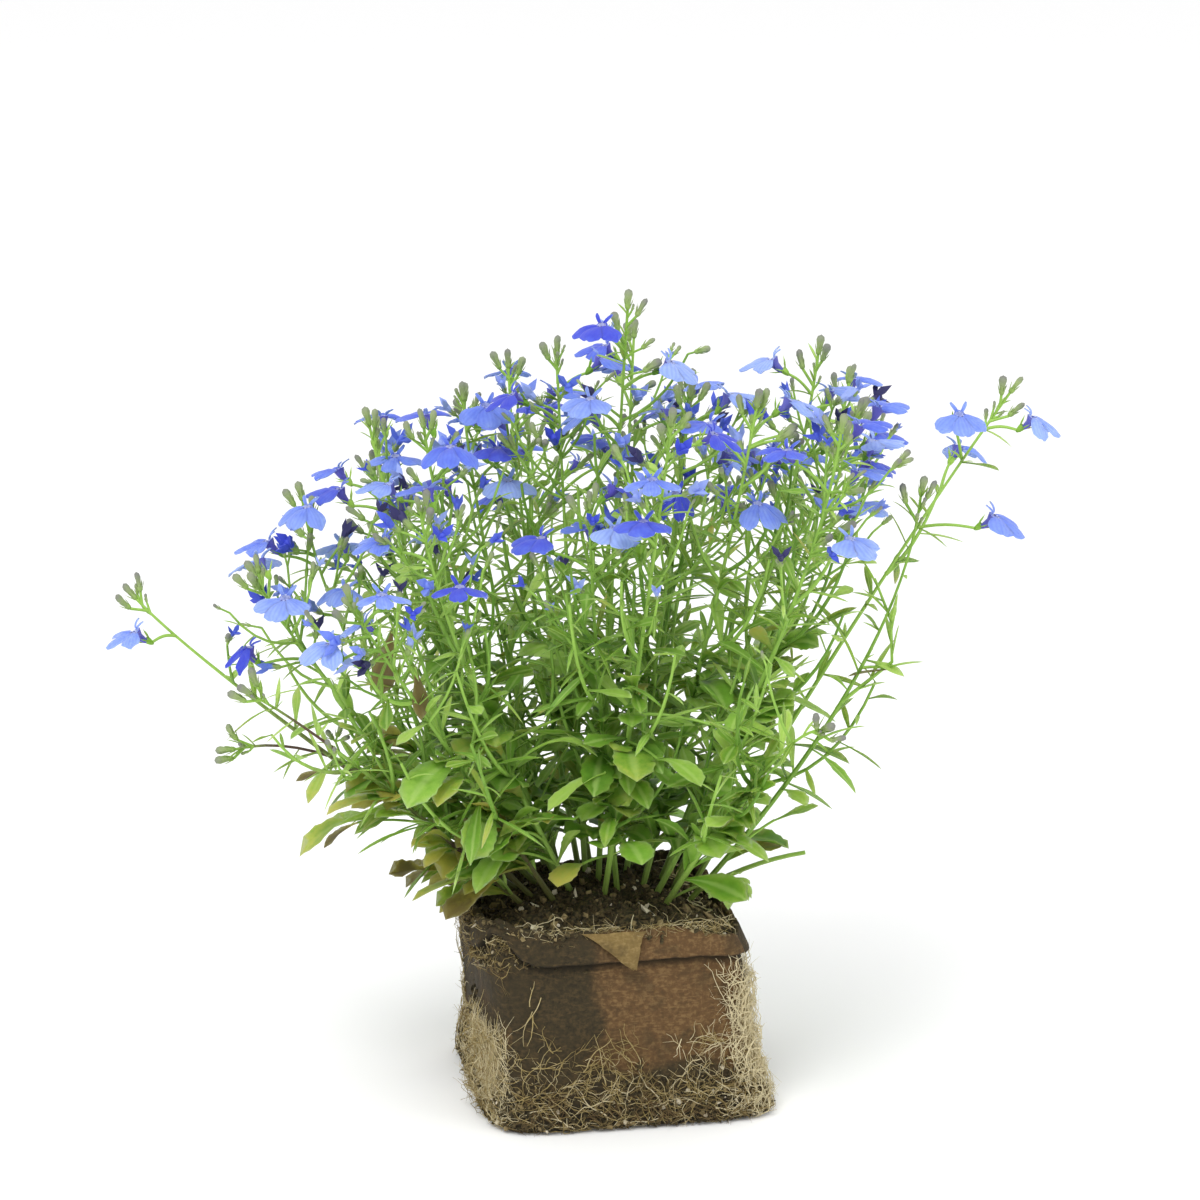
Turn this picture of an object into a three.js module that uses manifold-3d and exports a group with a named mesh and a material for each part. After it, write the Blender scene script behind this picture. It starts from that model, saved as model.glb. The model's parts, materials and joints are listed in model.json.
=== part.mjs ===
// Trailing lobelia (Lobelia erinus) in a square fibre pot, as sold for planting out.
// Millimetres, +Z up. The origin is the middle of the pot's flat underside and -Y is the pot's front.
// The pot holds a block of peat, and roots that have grown through its wall net the outside. Shoots
// stand in plain holes in the peat. Each is a leafy stem, and most end in a spray: the upper stem
// with its pedicels, blooms and buds. A leaf, bloom or bud takes the first of a short list of ways
// off its shoot that keeps it clear of all that is already there.
import * as THREE from "three";
import { mergeVertices } from "three/addons/utils/BufferGeometryUtils.js";
import Module from "manifold-3d";

const wasm = await Module();
wasm.setup();

// ---- Driving dimensions ----------------------------------------------------------------------

const GAP = 0.3; // clearance between separate pieces

const POT = {
  foot: 79, // outside width at the foot, which has slumped and spread
  waist: 72.5, // outside width where the spread ends
  waistUp: 17,
  mouth: 70.5,
  height: 54,
  lean: -5, // how far the mouth has slumped sideways
  wall: 1.4,
  sole: 3, // how far the flat underside stands in from the foot, and the rise of that edge
  band: 8, // height of the folded rim band
  bandOut: 0.9, // how far the band stands out
  corner: 7, // exponent of the rounded square: higher is squarer
  sides: 24, // points round a ring
};
const PEAT = { belowRim: 4.5, mound: 8.5, lump: 1 };

const PLANT_TURN_DEG = -11; // how far the plant is turned in its pot
const STEM = { footRadius: 1, tipRadius: 0.65, holeExtra: 0.75, depth: 7 };
// Where along a shoot its straight lengths meet. The spray begins where the leafy stem ends.
const KNOTS = { leafy: [0, 0.16, 0.32, 0.48, 0.64], spray: [0.64, 0.82, 1] };
const SPRAY_FROM = KNOTS.spray[0];
// A piece narrows in its stem to a point behind the stem's middle, as a share of the stem's radius,
// and is full this many millimetres ahead of the middle.
const NECK = { behind: 0.6, ahead: 1.5 };

// The corolla: a tube from the pedicel's end to the throat, a three-lobed lip and two upper lobes.
const BLOOM = {
  throat: [0, 3.8, 4.2],
  openingDeg: 60, // how far the throat faces up from straight out
  funnel: 1.2, // depth of the hollow in the throat
  droopDeg: 9, // how far the lower lip hangs below level
  curl: 0.012, // further fall of the lip, times its distance squared
  thick: 0.7,
  upperTip: [2.0, -1.5, 4.6], // from the throat
  leanDeg: [-15, 15], // least and most that a bloom is tipped back
};
const LOBES = [
  { turnDeg: -57, long: 8.2, half: 2.55 },
  { turnDeg: 0, long: 8.9, half: 2.65 },
  { turnDeg: 57, long: 8.2, half: 2.55 },
];
const LOBE_EDGE = [
  [0.6, -1],
  [0.94, -0.62],
  [0.94, 0.62],
  [0.6, 1],
]; // along and across a lobe, as shares of its length and half width
// The notches between the petals, round the throat from straight out, and how far out each is.
const NOTCHES = [
  { deg: -88, out: 1.9 },
  { deg: -28.5, out: 2.5 },
  { deg: 28.5, out: 2.5 },
  { deg: 88, out: 1.9 },
  { deg: 180, out: 1.5 },
];
const STALK = { radius: 0.42, first: 13, last: 9, liftDeg: 34, from: 0.69, to: 0.91 }; // a bloom's pedicel
const BUD = { long: 6, half: 1.05, at: [0.93, 0.965], stalk: [5.5, 4], liftDeg: 52 };

// Leaves: half widths along the blade from its root, length, rise off the stem and arch.
const LEAVES = {
  broad: { half: [0.5, 0.9, 2.2, 3.2, 4.5, 4.1, 4.7, 3.2], long: 21, liftDeg: 46, arch: 0.3 },
  middle: { half: [0.5, 1.6, 2.5], long: 21, liftDeg: 38, arch: 0.3 },
  narrow: { half: [0.45, 1.2], long: 18, liftDeg: 42, arch: 0.2 },
};
const LEAF_KEEL = 0.75; // depth of the rib under a blade
const LEAF_SLOTS = [
  { at: 0.12, kind: "broad" },
  { at: 0.2, kind: "middle" },
  { at: 0.28, kind: "middle" },
  { at: 0.39, kind: "narrow" },
  { at: 0.55, kind: "narrow" },
]; // where along a shoot its leaves stand

// Every shoot, in the plant's own axes: u to the right, v to the back, w up from the floor. foot
// is the bottom of its hole, bend what it passes half way and tip the base of its topmost bud. turn
// is how far its blooms are turned about it, in degrees, and reach multiplies its pedicels' length.
const SHOOTS = [
  { foot: [-19, 2], bend: [-92, -7, 108], tip: [-129, -5, 140], blooms: 1, reach: 0.6 },
  { foot: [-18, -5], bend: [-68, -19, 110], tip: [-95, -22, 150], blooms: 3 },
  { foot: [-15, 5], bend: [-62, -2, 109], tip: [-84, 1, 166], blooms: 4 },
  { foot: [-18, 14], bend: [-51, 21, 117], tip: [-66, 28, 169], blooms: 3 },
  { foot: [-13, 10], bend: [-48, 6, 128], tip: [-66, 9, 185], blooms: 4 },
  { foot: [-12, 0], bend: [-38, -14, 134], tip: [-50, -18, 190], blooms: 4 },
  { foot: [-13, 18], bend: [-32, 19, 132], tip: [-41, 24, 189], blooms: 4 },
  { foot: [-8, 22], bend: [-23, 34, 138], tip: [-29, 46, 194], blooms: 3 },
  { foot: [-7, 9], bend: [-12, 7, 140], tip: [-15, 7, 205], blooms: 4 },
  { foot: [-4, 2], bend: [0, -9, 147], tip: [4, -13, 221], blooms: 4, turn: 120 },
  { foot: [-1, 14], bend: [3, 20, 140], tip: [6, 27, 206], blooms: 4, turn: 120 },
  { foot: [3, 7], bend: [14, 2, 136], tip: [21, -2, 195], blooms: 4 },
  { foot: [6, 19], bend: [16, 28, 134], tip: [22, 38, 190], blooms: 3, turn: 120 },
  { foot: [7, 0], bend: [27, -14, 138], tip: [38, -21, 196], blooms: 4 },
  { foot: [2, -4], bend: [-4, -25, 127], tip: [-6, -36, 172], blooms: 4, turn: 120 },
  { foot: [-8, -5], bend: [-37, -30, 122], tip: [-50, -42, 172], blooms: 4 },
  { foot: [11, 9], bend: [41, 9, 136], tip: [56, 13, 204], blooms: 4 },
  { foot: [12, 17], bend: [48, 27, 133], tip: [66, 35, 192], blooms: 3 },
  { foot: [14, 2], bend: [48, -8, 137], tip: [65, -12, 192], blooms: 4 },
  { foot: [9, -6], bend: [44, -32, 135], tip: [59, -44, 194], blooms: 4 },
  { foot: [18, 6], bend: [66, -3, 133], tip: [107, 0, 196], blooms: 4, reach: 1.25 },
  { foot: [16, 21], bend: [48, 40, 122], tip: [64, 51, 176], blooms: 3 },
  { foot: [-3, -8], bend: [8, -34, 137], tip: [15, -46, 196], blooms: 3 },
  { foot: [-13, -9], bend: [-47, -40, 113], tip: [-67, -58, 150], blooms: 3 },
  { foot: [-5, 26], bend: [-17, 54, 122], tip: [-24, 74, 170], blooms: 4 },
  { foot: [4, 27], bend: [21, 58, 118], tip: [29, 80, 164], blooms: 4 },
  { foot: [17, -3], bend: [63, -21, 118], tip: [82, -20, 172], blooms: 0 },
  { foot: [-20, 8], bend: [-66, 0, 89], tip: [-103, -6, 98], blooms: 0 },
  { foot: [-19, -10], bend: [-64, -34, 98], tip: [-94, -46, 124], blooms: 0 },
  { foot: [-15, 22], bend: [-44, 48, 106], tip: [-64, 66, 136], blooms: 0 },
  { foot: [12, -10], bend: [38, -42, 100], tip: [54, -64, 120], blooms: 0 },
];

// Roots on the pot: two swaying hoops round the foot at these heights, links from one to the other
// and strands that climb from the upper one.
const ROOTS = { radius: 0.75, hoops: [4.6, 10.2], sway: 1.5, links: 6, climbers: 8, climb: [12, 32] };

const LOOKS = [
  { start: "fibre_pot", color: 0x5f4a33, roughness: 0.95 },
  { start: "peat_block", color: 0x231d13, roughness: 1 },
  { start: "root_net", color: 0xb7a987, roughness: 0.85 },
  { start: "leafy_stem", color: 0x5f8a32, roughness: 0.55 },
  { start: "flower_spray", color: 0x4c62d8, roughness: 0.6 },
];

// ---- Small tools -----------------------------------------------------------------------------

const HASH = { start: 2166136261, prime: 16777619, mix: 739982445 };
const UP = new THREE.Vector3(0, 0, 1);

const vec = (x, y, z) => new THREE.Vector3(x, y, z);
const radians = THREE.MathUtils.degToRad;
const lerp = THREE.MathUtils.lerp;

/** A fixed draw between two values for a set of whole numbers, the same on every run. */
function between(low, high, ...keys) {
  let mixed = HASH.start;
  for (const key of keys) mixed = Math.imul(mixed ^ key, HASH.prime);
  mixed ^= mixed >>> 15;
  mixed = Math.imul(mixed, HASH.mix);
  mixed ^= mixed >>> 12;
  return low + ((high - low) * (mixed >>> 0)) / 2 ** 32;
}

/** A start point plus a sum of directions, each given as [direction, length]. */
function along(start, ...moves) {
  const end = start.clone();
  for (const [direction, length] of moves) end.addScaledVector(direction, length);
  return end;
}

/** The triangles of a band between two rings, each counterclockwise seen from ahead. */
function band(from, to) {
  return from.flatMap((corner, j) => {
    const k = (j + 1) % from.length;
    return [
      [corner, from[k], to[k]],
      [corner, to[k], to[j]],
    ];
  });
}

/** The triangles of bands through a list of rings. */
const skin = (rings) => rings.slice(1).flatMap((ring, i) => band(rings[i], ring));

/** The triangles that close a ring behind. */
const capBehind = (ring) => ring.slice(2).map((corner, j) => [ring[0], corner, ring[j + 1]]);

/** The triangles that close a ring ahead. */
const capAhead = (ring) => ring.slice(2).map((corner, j) => [ring[0], ring[j + 1], corner]);

/** The triangles from a ring to a point ahead of it. */
const toTip = (ring, tip) => ring.map((corner, j) => [corner, ring[(j + 1) % ring.length], tip]);

/** The triangles from a point to a ring ahead of it. */
const fromTip = (tip, ring) => ring.map((corner, j) => [ring[(j + 1) % ring.length], corner, tip]);

/** A closed list of triangles as a solid that can be joined and cut. */
function solid(triangles) {
  const merged = mergeVertices(new THREE.BufferGeometry().setFromPoints(triangles.flat()), 1e-3);
  return new wasm.Manifold(
    new wasm.Mesh({
      numProp: 3,
      vertProperties: merged.attributes.position.array,
      triVerts: new Uint32Array(merged.index.array),
    }),
  );
}

/** A solid as a three.js geometry. */
function geometryOf(made) {
  const { vertProperties, triVerts } = made.getMesh();
  return new THREE.BufferGeometry()
    .setAttribute("position", new THREE.BufferAttribute(vertProperties, 3))
    .setIndex(new THREE.BufferAttribute(triVerts, 1));
}

/** A ring of three points about a place, facing one way, the first towards a given side. */
function triangleRing(place, ahead, side, radius) {
  const first = along(side, [ahead, -side.dot(ahead)]).normalize();
  const second = ahead.clone().cross(first);
  return [0, 120, 240].map((deg) =>
    along(place, [first, radius * Math.cos(radians(deg))], [second, radius * Math.sin(radians(deg))]),
  );
}

// ---- Pot and peat ----------------------------------------------------------------------------

/** The outline of the pot's rounded square at one of the points round it, half a unit square wide. */
function outlinePoint(index) {
  const angle = (index * 2 * Math.PI) / POT.sides;
  const swell = (value) => Math.sign(value) * Math.abs(value) ** (2 / POT.corner);
  return vec(swell(Math.cos(angle)), swell(Math.sin(angle)), 0);
}

/** Half the pot's outside width at a height. */
function potHalf(height) {
  if (height < POT.waistUp) return lerp(POT.foot, POT.waist, height / POT.waistUp) / 2;
  return lerp(POT.waist, POT.mouth, (height - POT.waistUp) / (POT.height - POT.waistUp)) / 2;
}

/** How far sideways the pot's middle is at a height. */
const potMiddle = (height) => (POT.lean * height) / POT.height;

/** A point of the pot's outline, brought out to a half width at a height. */
const onPot = (index, half, height) =>
  outlinePoint(index).multiplyScalar(half).add(vec(potMiddle(height), 0, height));

/** A ring parallel to the pot's wall, so far outside it, at a height that may change round it. */
function wallRing(heightAt, out) {
  return Array.from({ length: POT.sides }, (_, index) => {
    const height = heightAt((index * 2 * Math.PI) / POT.sides);
    return onPot(index, potHalf(height) + out, height);
  });
}

/** The uneven rim: highest at the front left corner and worn low at the front right. */
function rimHeight(angle) {
  return POT.height + 0.5 + 2 * Math.cos(angle - radians(215)) + 2.6 * Math.cos(2 * (angle - radians(225)));
}

/** The uneven lower edge of the folded rim band. */
const bandHeight = (angle) => rimHeight(angle) - POT.band - 1.2 * Math.sin(3 * angle + 0.6);

function fibrePot() {
  const foot = wallRing(() => 0, -POT.sole);
  const floor = wallRing(() => POT.sole + POT.wall, -POT.wall - POT.sole / 2);
  return solid([
    ...capBehind(foot),
    ...skin([
      foot,
      wallRing(() => POT.sole, 0),
      wallRing(() => POT.waistUp, 0),
      wallRing((angle) => bandHeight(angle) - POT.bandOut, 0),
      wallRing(bandHeight, POT.bandOut),
      wallRing(rimHeight, POT.bandOut),
      wallRing(rimHeight, -POT.wall),
      wallRing(() => POT.waistUp, -POT.wall),
      floor,
    ]),
    ...capAhead(floor),
  ]);
}

/** The peat's height at a place: a mound in the middle, with lumps. */
function peatHeight(x, y) {
  const share = Math.max(Math.abs(x - POT.lean), Math.abs(y)) / (POT.mouth / 2);
  const lumps = Math.sin(0.31 * x + 1) * Math.cos(0.27 * y) + 0.5 * Math.sin(0.23 * (x + y));
  return POT.height - PEAT.belowRim + PEAT.mound * (1 - Math.min(1, share) ** 2) + PEAT.lump * lumps;
}

function peatBlock(holes) {
  const inset = -POT.wall - 2.2 * GAP;
  const edge = wallRing(() => POT.height - PEAT.belowRim, inset);
  const lay = (share) =>
    edge.map((corner) => {
      const [x, y] = [lerp(POT.lean, corner.x, share), corner.y * share];
      return vec(x, y, peatHeight(x, y));
    });
  const foot = wallRing(() => POT.sole + POT.wall + 1.5 * GAP, inset - POT.sole / 2);
  const surface = [1, 0.72, 0.4].map(lay);
  const block = solid([
    ...capBehind(foot),
    ...skin([foot, wallRing(() => POT.waistUp, inset), ...surface]),
    ...toTip(surface.at(-1), vec(POT.lean, 0, peatHeight(POT.lean, 0))),
  ]);
  return wasm.Manifold.difference([block, ...holes]);
}

// ---- Roots -----------------------------------------------------------------------------------

/** A place for a root's middle on the pot, beside one of the outline's points, and the way out from it. */
function rootPlace(index, height) {
  const [left, right] = [index - 1, index].map((from) => {
    const side = outlinePoint(from + 1).sub(outlinePoint(from));
    return vec(side.y, -side.x, 0).normalize();
  });
  const mitre = (1.25 * GAP + 0.7 * ROOTS.radius) / (1 + left.dot(right));
  const wall = onPot(index, potHalf(height), height);
  return { middle: along(wall, [left, mitre], [right, mitre]), out: along(left, [right, 1]).normalize() };
}

/** The rings of a root through places on the pot. */
function rootRings(places, closed) {
  const last = places.length - 1;
  const at = (i) => (closed ? places.at(i % places.length) : places[THREE.MathUtils.clamp(i, 0, last)]);
  return places.map(({ middle, out }, i) => {
    const ahead = at(i + 1).middle.clone().sub(at(i - 1).middle).normalize();
    return triangleRing(middle, ahead, out, ROOTS.radius);
  });
}

/** How high a hoop passes one of the outline's points. */
const hoopHeight = (hoop, index) =>
  ROOTS.hoops[hoop] + between(-ROOTS.sway, ROOTS.sway, 70, hoop, (index + POT.sides) % POT.sides);

function rootHoop(hoop) {
  const places = Array.from({ length: POT.sides }, (_, index) => rootPlace(index, hoopHeight(hoop, index)));
  const rings = rootRings(places, true);
  return solid(skin([...rings, rings[0]]));
}

/** A root from the middle of one hoop at one outline point through others further on, to a point. */
function rootStrand(from, ...through) {
  const places = [from, ...through].map(([index, height]) => rootPlace(index, height));
  const rings = rootRings(places, false).slice(1, -1);
  return solid([
    ...fromTip(places[0].middle, rings[0]),
    ...skin(rings),
    ...toTip(rings.at(-1), places.at(-1).middle),
  ]);
}

function rootNet() {
  const links = Array.from({ length: ROOTS.links }, (_, which) => {
    const index = Math.round(((which + 0.5) * POT.sides) / ROOTS.links);
    const next = index + (which % 2 ? 1 : -1);
    const [low, high] = [hoopHeight(0, index), hoopHeight(1, next)];
    return rootStrand([index, low], [index, low + 1.2], [next, high - 1.2], [next, high]);
  });
  const climbers = Array.from({ length: ROOTS.climbers }, (_, which) => {
    const corner = POT.sides / 8 + (POT.sides / 4) * (which % 4);
    const index = corner + Math.round(between(-2.4, 2.4, 71, which));
    const next = index + (between(-1, 1, 72, which) > 0 ? 1 : -1);
    const [low, rise] = [hoopHeight(1, index), between(...ROOTS.climb, 73, which)];
    return rootStrand([index, low], [index, low + 1.2], [index, low + 0.4 * rise], [next, low + rise]);
  });
  return wasm.Manifold.union([rootHoop(0), rootHoop(1), ...links, ...climbers]);
}

// ---- Shoots ----------------------------------------------------------------------------------

/** A point in the plant's axes, in the pot's. */
const inPot = ([u, v, w]) => vec(u, v, w).applyAxisAngle(UP, radians(PLANT_TURN_DEG));

/** A shoot's curve, from the bottom of its hole to the base of its topmost bud. */
function shootCurve({ foot, bend, tip }) {
  const start = inPot([...foot, 0]);
  start.z = peatHeight(start.x, start.y) - STEM.depth;
  const [middle, end] = [inPot(bend), inPot(tip)];
  return new THREE.QuadraticBezierCurve3(start, along(start, [start, -1.5], [middle, 2], [end, -0.5]), end);
}

/** The level direction across a shoot's plane. */
const acrossOf = (curve) => curve.v1.clone().sub(curve.v0).cross(curve.v2.clone().sub(curve.v1)).normalize();

const stemRadius = (t) => lerp(STEM.footRadius, STEM.tipRadius, t);

/** The ring of a shoot's three-sided stem at t. */
function stemRing(curve, t) {
  const ahead = curve.v1.clone().sub(curve.v0).lerp(curve.v2.clone().sub(curve.v1), t).normalize();
  return triangleRing(curve.getPoint(t), ahead, acrossOf(curve), stemRadius(t));
}

/** The middle of a shoot's stem at t, on its straight lengths, with the directions there. */
function stemAt(curve, t) {
  const knots = [...KNOTS.leafy, ...KNOTS.spray.slice(1)];
  const next = knots.findIndex((knot) => knot >= t && knot > 0);
  const [from, to] = [knots[next - 1], knots[next]];
  const [start, end] = [curve.getPoint(from), curve.getPoint(to)];
  const ahead = end.clone().sub(start).normalize();
  const across = acrossOf(curve);
  const middle = start.lerp(end, (t - from) / (to - from));
  return { middle, ahead, across, within: ahead.clone().cross(across), radius: stemRadius(t) };
}

/** The plain hole that a shoot's first straight length stands in. */
function hole(curve) {
  const { ahead, across } = stemAt(curve, KNOTS.leafy[1] / 2);
  const ends = [along(curve.getPoint(0), [ahead, -2 * GAP]), curve.getPoint(KNOTS.leafy[1])];
  const rings = ends.map((end) => triangleRing(end, ahead, across, STEM.footRadius + STEM.holeExtra));
  return solid([...capBehind(rings[0]), ...band(...rings), ...capAhead(rings[1])]);
}

/** The triangles of a bud that goes on from a ring, ahead of a place. */
function budFrom(ring, place, ahead, side) {
  const wide = triangleRing(along(place, [ahead, BUD.long * 0.7]), ahead, side, BUD.half);
  return [...band(ring, wide), ...toTip(wide, along(place, [ahead, BUD.long]))];
}

/** A stretch of stem through knots, ending in a bud if it is the shoot's top. */
function stretch(curve, knots) {
  const rings = knots.map((t) => stemRing(curve, t));
  const { middle, ahead, across } = stemAt(curve, knots.at(-1));
  const end = knots.at(-1) < 1 ? capAhead(rings.at(-1)) : budFrom(rings.at(-1), middle, ahead, across);
  return solid([...capBehind(rings[0]), ...skin(rings), ...end]);
}

/** The direction off a stem, turned about it and lifted from square towards its top. */
function offStem({ ahead, across, within }, turnDeg, liftDeg) {
  const [turn, lift] = [radians(turnDeg), radians(liftDeg)];
  return along(
    vec(0, 0, 0),
    [across, Math.cos(turn) * Math.cos(lift)],
    [within, Math.sin(turn) * Math.cos(lift)],
    [ahead, Math.sin(lift)],
  );
}

/** The triangles that sink a piece's first ring in its stem. */
const sink = (stem, away, ring) => fromTip(along(stem.middle, [away, -NECK.behind * stem.radius]), ring);

/** The ways that a piece may leave its shoot, first choice first. It leaves near the middle of a side. */
function waysOff(wantedDeg, keys) {
  const side = Math.round((wantedDeg - 60) / 120);
  return [0, 12, -12, 24, 36].flatMap((moreLiftDeg) =>
    [0, 1, 2].flatMap((next) =>
      [0, 11, -11].map((swingDeg) => ({
        turnDeg: 60 + 120 * (side + next) + swingDeg + between(-8, 8, ...keys, next),
        moreLiftDeg,
      })),
    ),
  );
}

// ---- Blooms, buds and leaves ------------------------------------------------------------------

/** The bloom's corners in its own axes, +Y outward and +Z up, with the pedicel's end at the origin. */
function bloomCorners() {
  const throat = vec(...BLOOM.throat);
  const [droop, face] = [radians(BLOOM.droopDeg), radians(BLOOM.openingDeg)];
  const opening = vec(0, Math.cos(face), Math.sin(face));
  const down = vec(0, Math.sin(face), -Math.cos(face));
  const right = vec(1, 0, 0);
  const thicken = (middle, way) => ({
    over: along(middle, [way, BLOOM.thick / 2]),
    under: along(middle, [way, -BLOOM.thick / 2]),
  });
  const notches = NOTCHES.map(({ deg, out }) => {
    const turn = radians(deg);
    return thicken(along(throat, [right, out * Math.sin(turn)], [down, out * Math.cos(turn)]), opening);
  });
  const lobes = LOBES.map(({ turnDeg, long, half }) =>
    LOBE_EDGE.map(([far, aside]) => {
      const flat = vec(half * aside, long * far, 0).applyAxisAngle(UP, -radians(turnDeg));
      const fall = BLOOM.curl * flat.lengthSq() + flat.y * Math.sin(droop);
      return thicken(along(throat, [vec(flat.x, flat.y * Math.cos(droop), -fall), 1]), UP);
    }),
  );
  const [aside, back, high] = BLOOM.upperTip;
  const ears = [1, -1].map((side) => [
    thicken(along(throat, [vec(side * aside, back, high), 1]), vec(0, 0.9, 0.44)),
  ]);
  return { hub: along(throat, [opening, -BLOOM.funnel]), notches, petals: [...lobes, ...ears] };
}

const CORNERS = bloomCorners();

/** The triangles of a bloom set in place, closed behind by a ring of three points. */
function bloomOnto(stalk, matrix) {
  const set = (corner) => corner.clone().applyMatrix4(matrix);
  const both = ({ over, under }) => ({ over: set(over), under: set(under) });
  const notches = CORNERS.notches.map(both);
  const hub = set(CORNERS.hub);
  const owner = [1, 1, 0, 0, 2]; // the stalk's point that each stretch between notches runs back to
  const triangles = [];
  CORNERS.petals.forEach((petal, i) => {
    const [here, next] = [notches[i], notches[(i + 1) % notches.length]];
    const edge = [here, ...petal.map(both), next];
    triangles.push([here.over, hub, next.over], [here.under, next.under, stalk[owner[i]]]);
    for (let j = 1; j + 1 < edge.length; j++) {
      triangles.push([edge[0].over, edge[j + 1].over, edge[j].over]);
      triangles.push([edge[0].under, edge[j].under, edge[j + 1].under]);
    }
    for (let j = 0; j + 1 < edge.length; j++) {
      const [a, b] = [edge[j], edge[j + 1]];
      triangles.push([a.over, b.over, b.under], [a.over, b.under, a.under]);
    }
    const nextOwner = owner[(i + 1) % owner.length];
    if (nextOwner !== owner[i]) triangles.push([next.under, stalk[nextOwner], stalk[owner[i]]]);
  });
  return triangles;
}

/** A bloom and its pedicel, one way off its shoot. */
function bloomOn(curve, shoot, slot, { turnDeg, moreLiftDeg }) {
  const { blooms, reach = 1 } = SHOOTS[shoot];
  const share = blooms > 1 ? slot / (blooms - 1) : 0.5;
  const stem = stemAt(curve, lerp(STALK.from, STALK.to, share));
  const long = lerp(STALK.first, STALK.last, share) * reach * between(0.85, 1.15, 11, shoot, slot);
  const away = offStem(stem, turnDeg, STALK.liftDeg + moreLiftDeg);
  const end = along(stem.middle, [away, long]);
  const outward = vec(end.x, end.y, 0).normalize();
  const ahead = along(vec(away.x, away.y, 0).normalize(), [outward, 0.7]).normalize();
  const right = ahead.clone().cross(UP);
  const lean = new THREE.Matrix4().makeRotationX(radians(between(...BLOOM.leanDeg, 12, shoot, slot)));
  const matrix = new THREE.Matrix4().makeBasis(right, ahead, UP).multiply(lean).setPosition(end);
  const opening = vec(...BLOOM.throat).transformDirection(matrix);
  const rings = [
    triangleRing(along(stem.middle, [away, NECK.ahead]), away, right, STALK.radius),
    triangleRing(end, opening.add(away).normalize(), right, STALK.radius),
  ];
  return solid([...sink(stem, away, rings[0]), ...skin(rings), ...bloomOnto(rings[1], matrix)]);
}

/** A bud on its stalk, one way off its shoot. */
function budOn(curve, shoot, slot, { turnDeg, moreLiftDeg }) {
  const stem = stemAt(curve, BUD.at[slot]);
  const away = offStem(stem, turnDeg, BUD.liftDeg + moreLiftDeg);
  const end = along(stem.middle, [away, BUD.stalk[slot]]);
  const upward = along(away, [UP, 0.6]).normalize();
  const ring = triangleRing(end, upward, stem.ahead, STALK.radius);
  return solid([...sink(stem, away, ring), ...budFrom(ring, end, upward, stem.ahead)]);
}

/** A leaf blade with its rib below, one way off its shoot, arching down. */
function leafOn(curve, shoot, slot, { turnDeg, moreLiftDeg }) {
  const { at, kind } = LEAF_SLOTS[slot];
  const { half, long, liftDeg, arch } = LEAVES[kind];
  const stem = stemAt(curve, at);
  const heading = offStem(stem, turnDeg, liftDeg + moreLiftDeg);
  const scale = between(0.8, 1.12, 31, shoot, slot);
  const roll = radians(between(-25, 25, 32, shoot, slot));
  const reach = long * scale;
  const spine = (s) => along(stem.middle, [heading, reach * s], [UP, -reach * arch * s * s]);
  const rings = half.map((wide, i) => {
    const s = i ? i / half.length : NECK.ahead / reach;
    const ahead = along(heading, [UP, -2 * arch * s]).normalize();
    const side = UP.clone().cross(ahead).normalize().applyAxisAngle(ahead, roll);
    const over = ahead.clone().cross(side);
    const spread = wide * scale;
    return [
      along(spine(s), [side, spread]),
      along(spine(s), [side, -spread]),
      along(spine(s), [over, -LEAF_KEEL]),
    ];
  });
  return solid([...sink(stem, heading, rings[0]), ...skin(rings), ...toTip(rings.at(-1), spine(1))]);
}

// ---- Putting it together ---------------------------------------------------------------------

const placed = []; // every solid so far: its node, its box and whether it is a stem

function place(node, made, isStem = false) {
  placed.push({ node, made, box: made.boundingBox(), isStem });
}

/** Whether a solid keeps clear of all that is placed but its own node's stem. */
function isClear(node, made) {
  const box = made.boundingBox();
  return placed.every((other) => {
    if (other.node === node && other.isStem) return true;
    const apart = [0, 1, 2].some(
      (axis) => box.min[axis] - GAP > other.box.max[axis] || other.box.min[axis] - GAP > box.max[axis],
    );
    return apart || other.made.minGap(made, 2 * GAP) >= GAP;
  });
}

/** Places a piece the first way that is clear. */
function placeClear(node, wantedDeg, keys, make) {
  for (const way of waysOff(wantedDeg, keys)) {
    const made = make(way);
    if (isClear(node, made)) {
      place(node, made);
      return;
    }
  }
  throw new Error(`${node} has no room for its piece ${keys.join(".")}`);
}

const nameOf = (start, shoot) => `${start}_${String(shoot + 1).padStart(2, "0")}`;
const topName = (shoot) => nameOf(SHOOTS[shoot].blooms ? "flower_spray" : "leafy_stem", shoot);
const curves = SHOOTS.map(shootCurve);

place("fibre_pot", fibrePot());
place("peat_block", peatBlock(curves.map(hole)));
place("root_net", rootNet());

curves.forEach((curve, shoot) => {
  const leafy = nameOf("leafy_stem", shoot);
  if (SHOOTS[shoot].blooms) {
    const start = SPRAY_FROM + (1.15 * GAP) / curve.getLength();
    place(leafy, stretch(curve, KNOTS.leafy), true);
    place(topName(shoot), stretch(curve, [start, ...KNOTS.spray.slice(1)]), true);
  } else {
    place(leafy, stretch(curve, [...KNOTS.leafy, ...KNOTS.spray.slice(1)]), true);
  }
});
SHOOTS.forEach(({ blooms, turn = 0 }, shoot) => {
  for (let slot = 0; slot < blooms; slot++) {
    const wantedDeg = turn + 61 * shoot + 137.5 * slot;
    const make = (way) => bloomOn(curves[shoot], shoot, slot, way);
    placeClear(topName(shoot), wantedDeg, [1, shoot, slot], make);
  }
});
SHOOTS.forEach((_, shoot) => {
  BUD.stalk.forEach((_, slot) => {
    const make = (way) => budOn(curves[shoot], shoot, slot, way);
    placeClear(topName(shoot), 83 * shoot + 170 * slot, [2, shoot, slot], make);
  });
});
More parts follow.
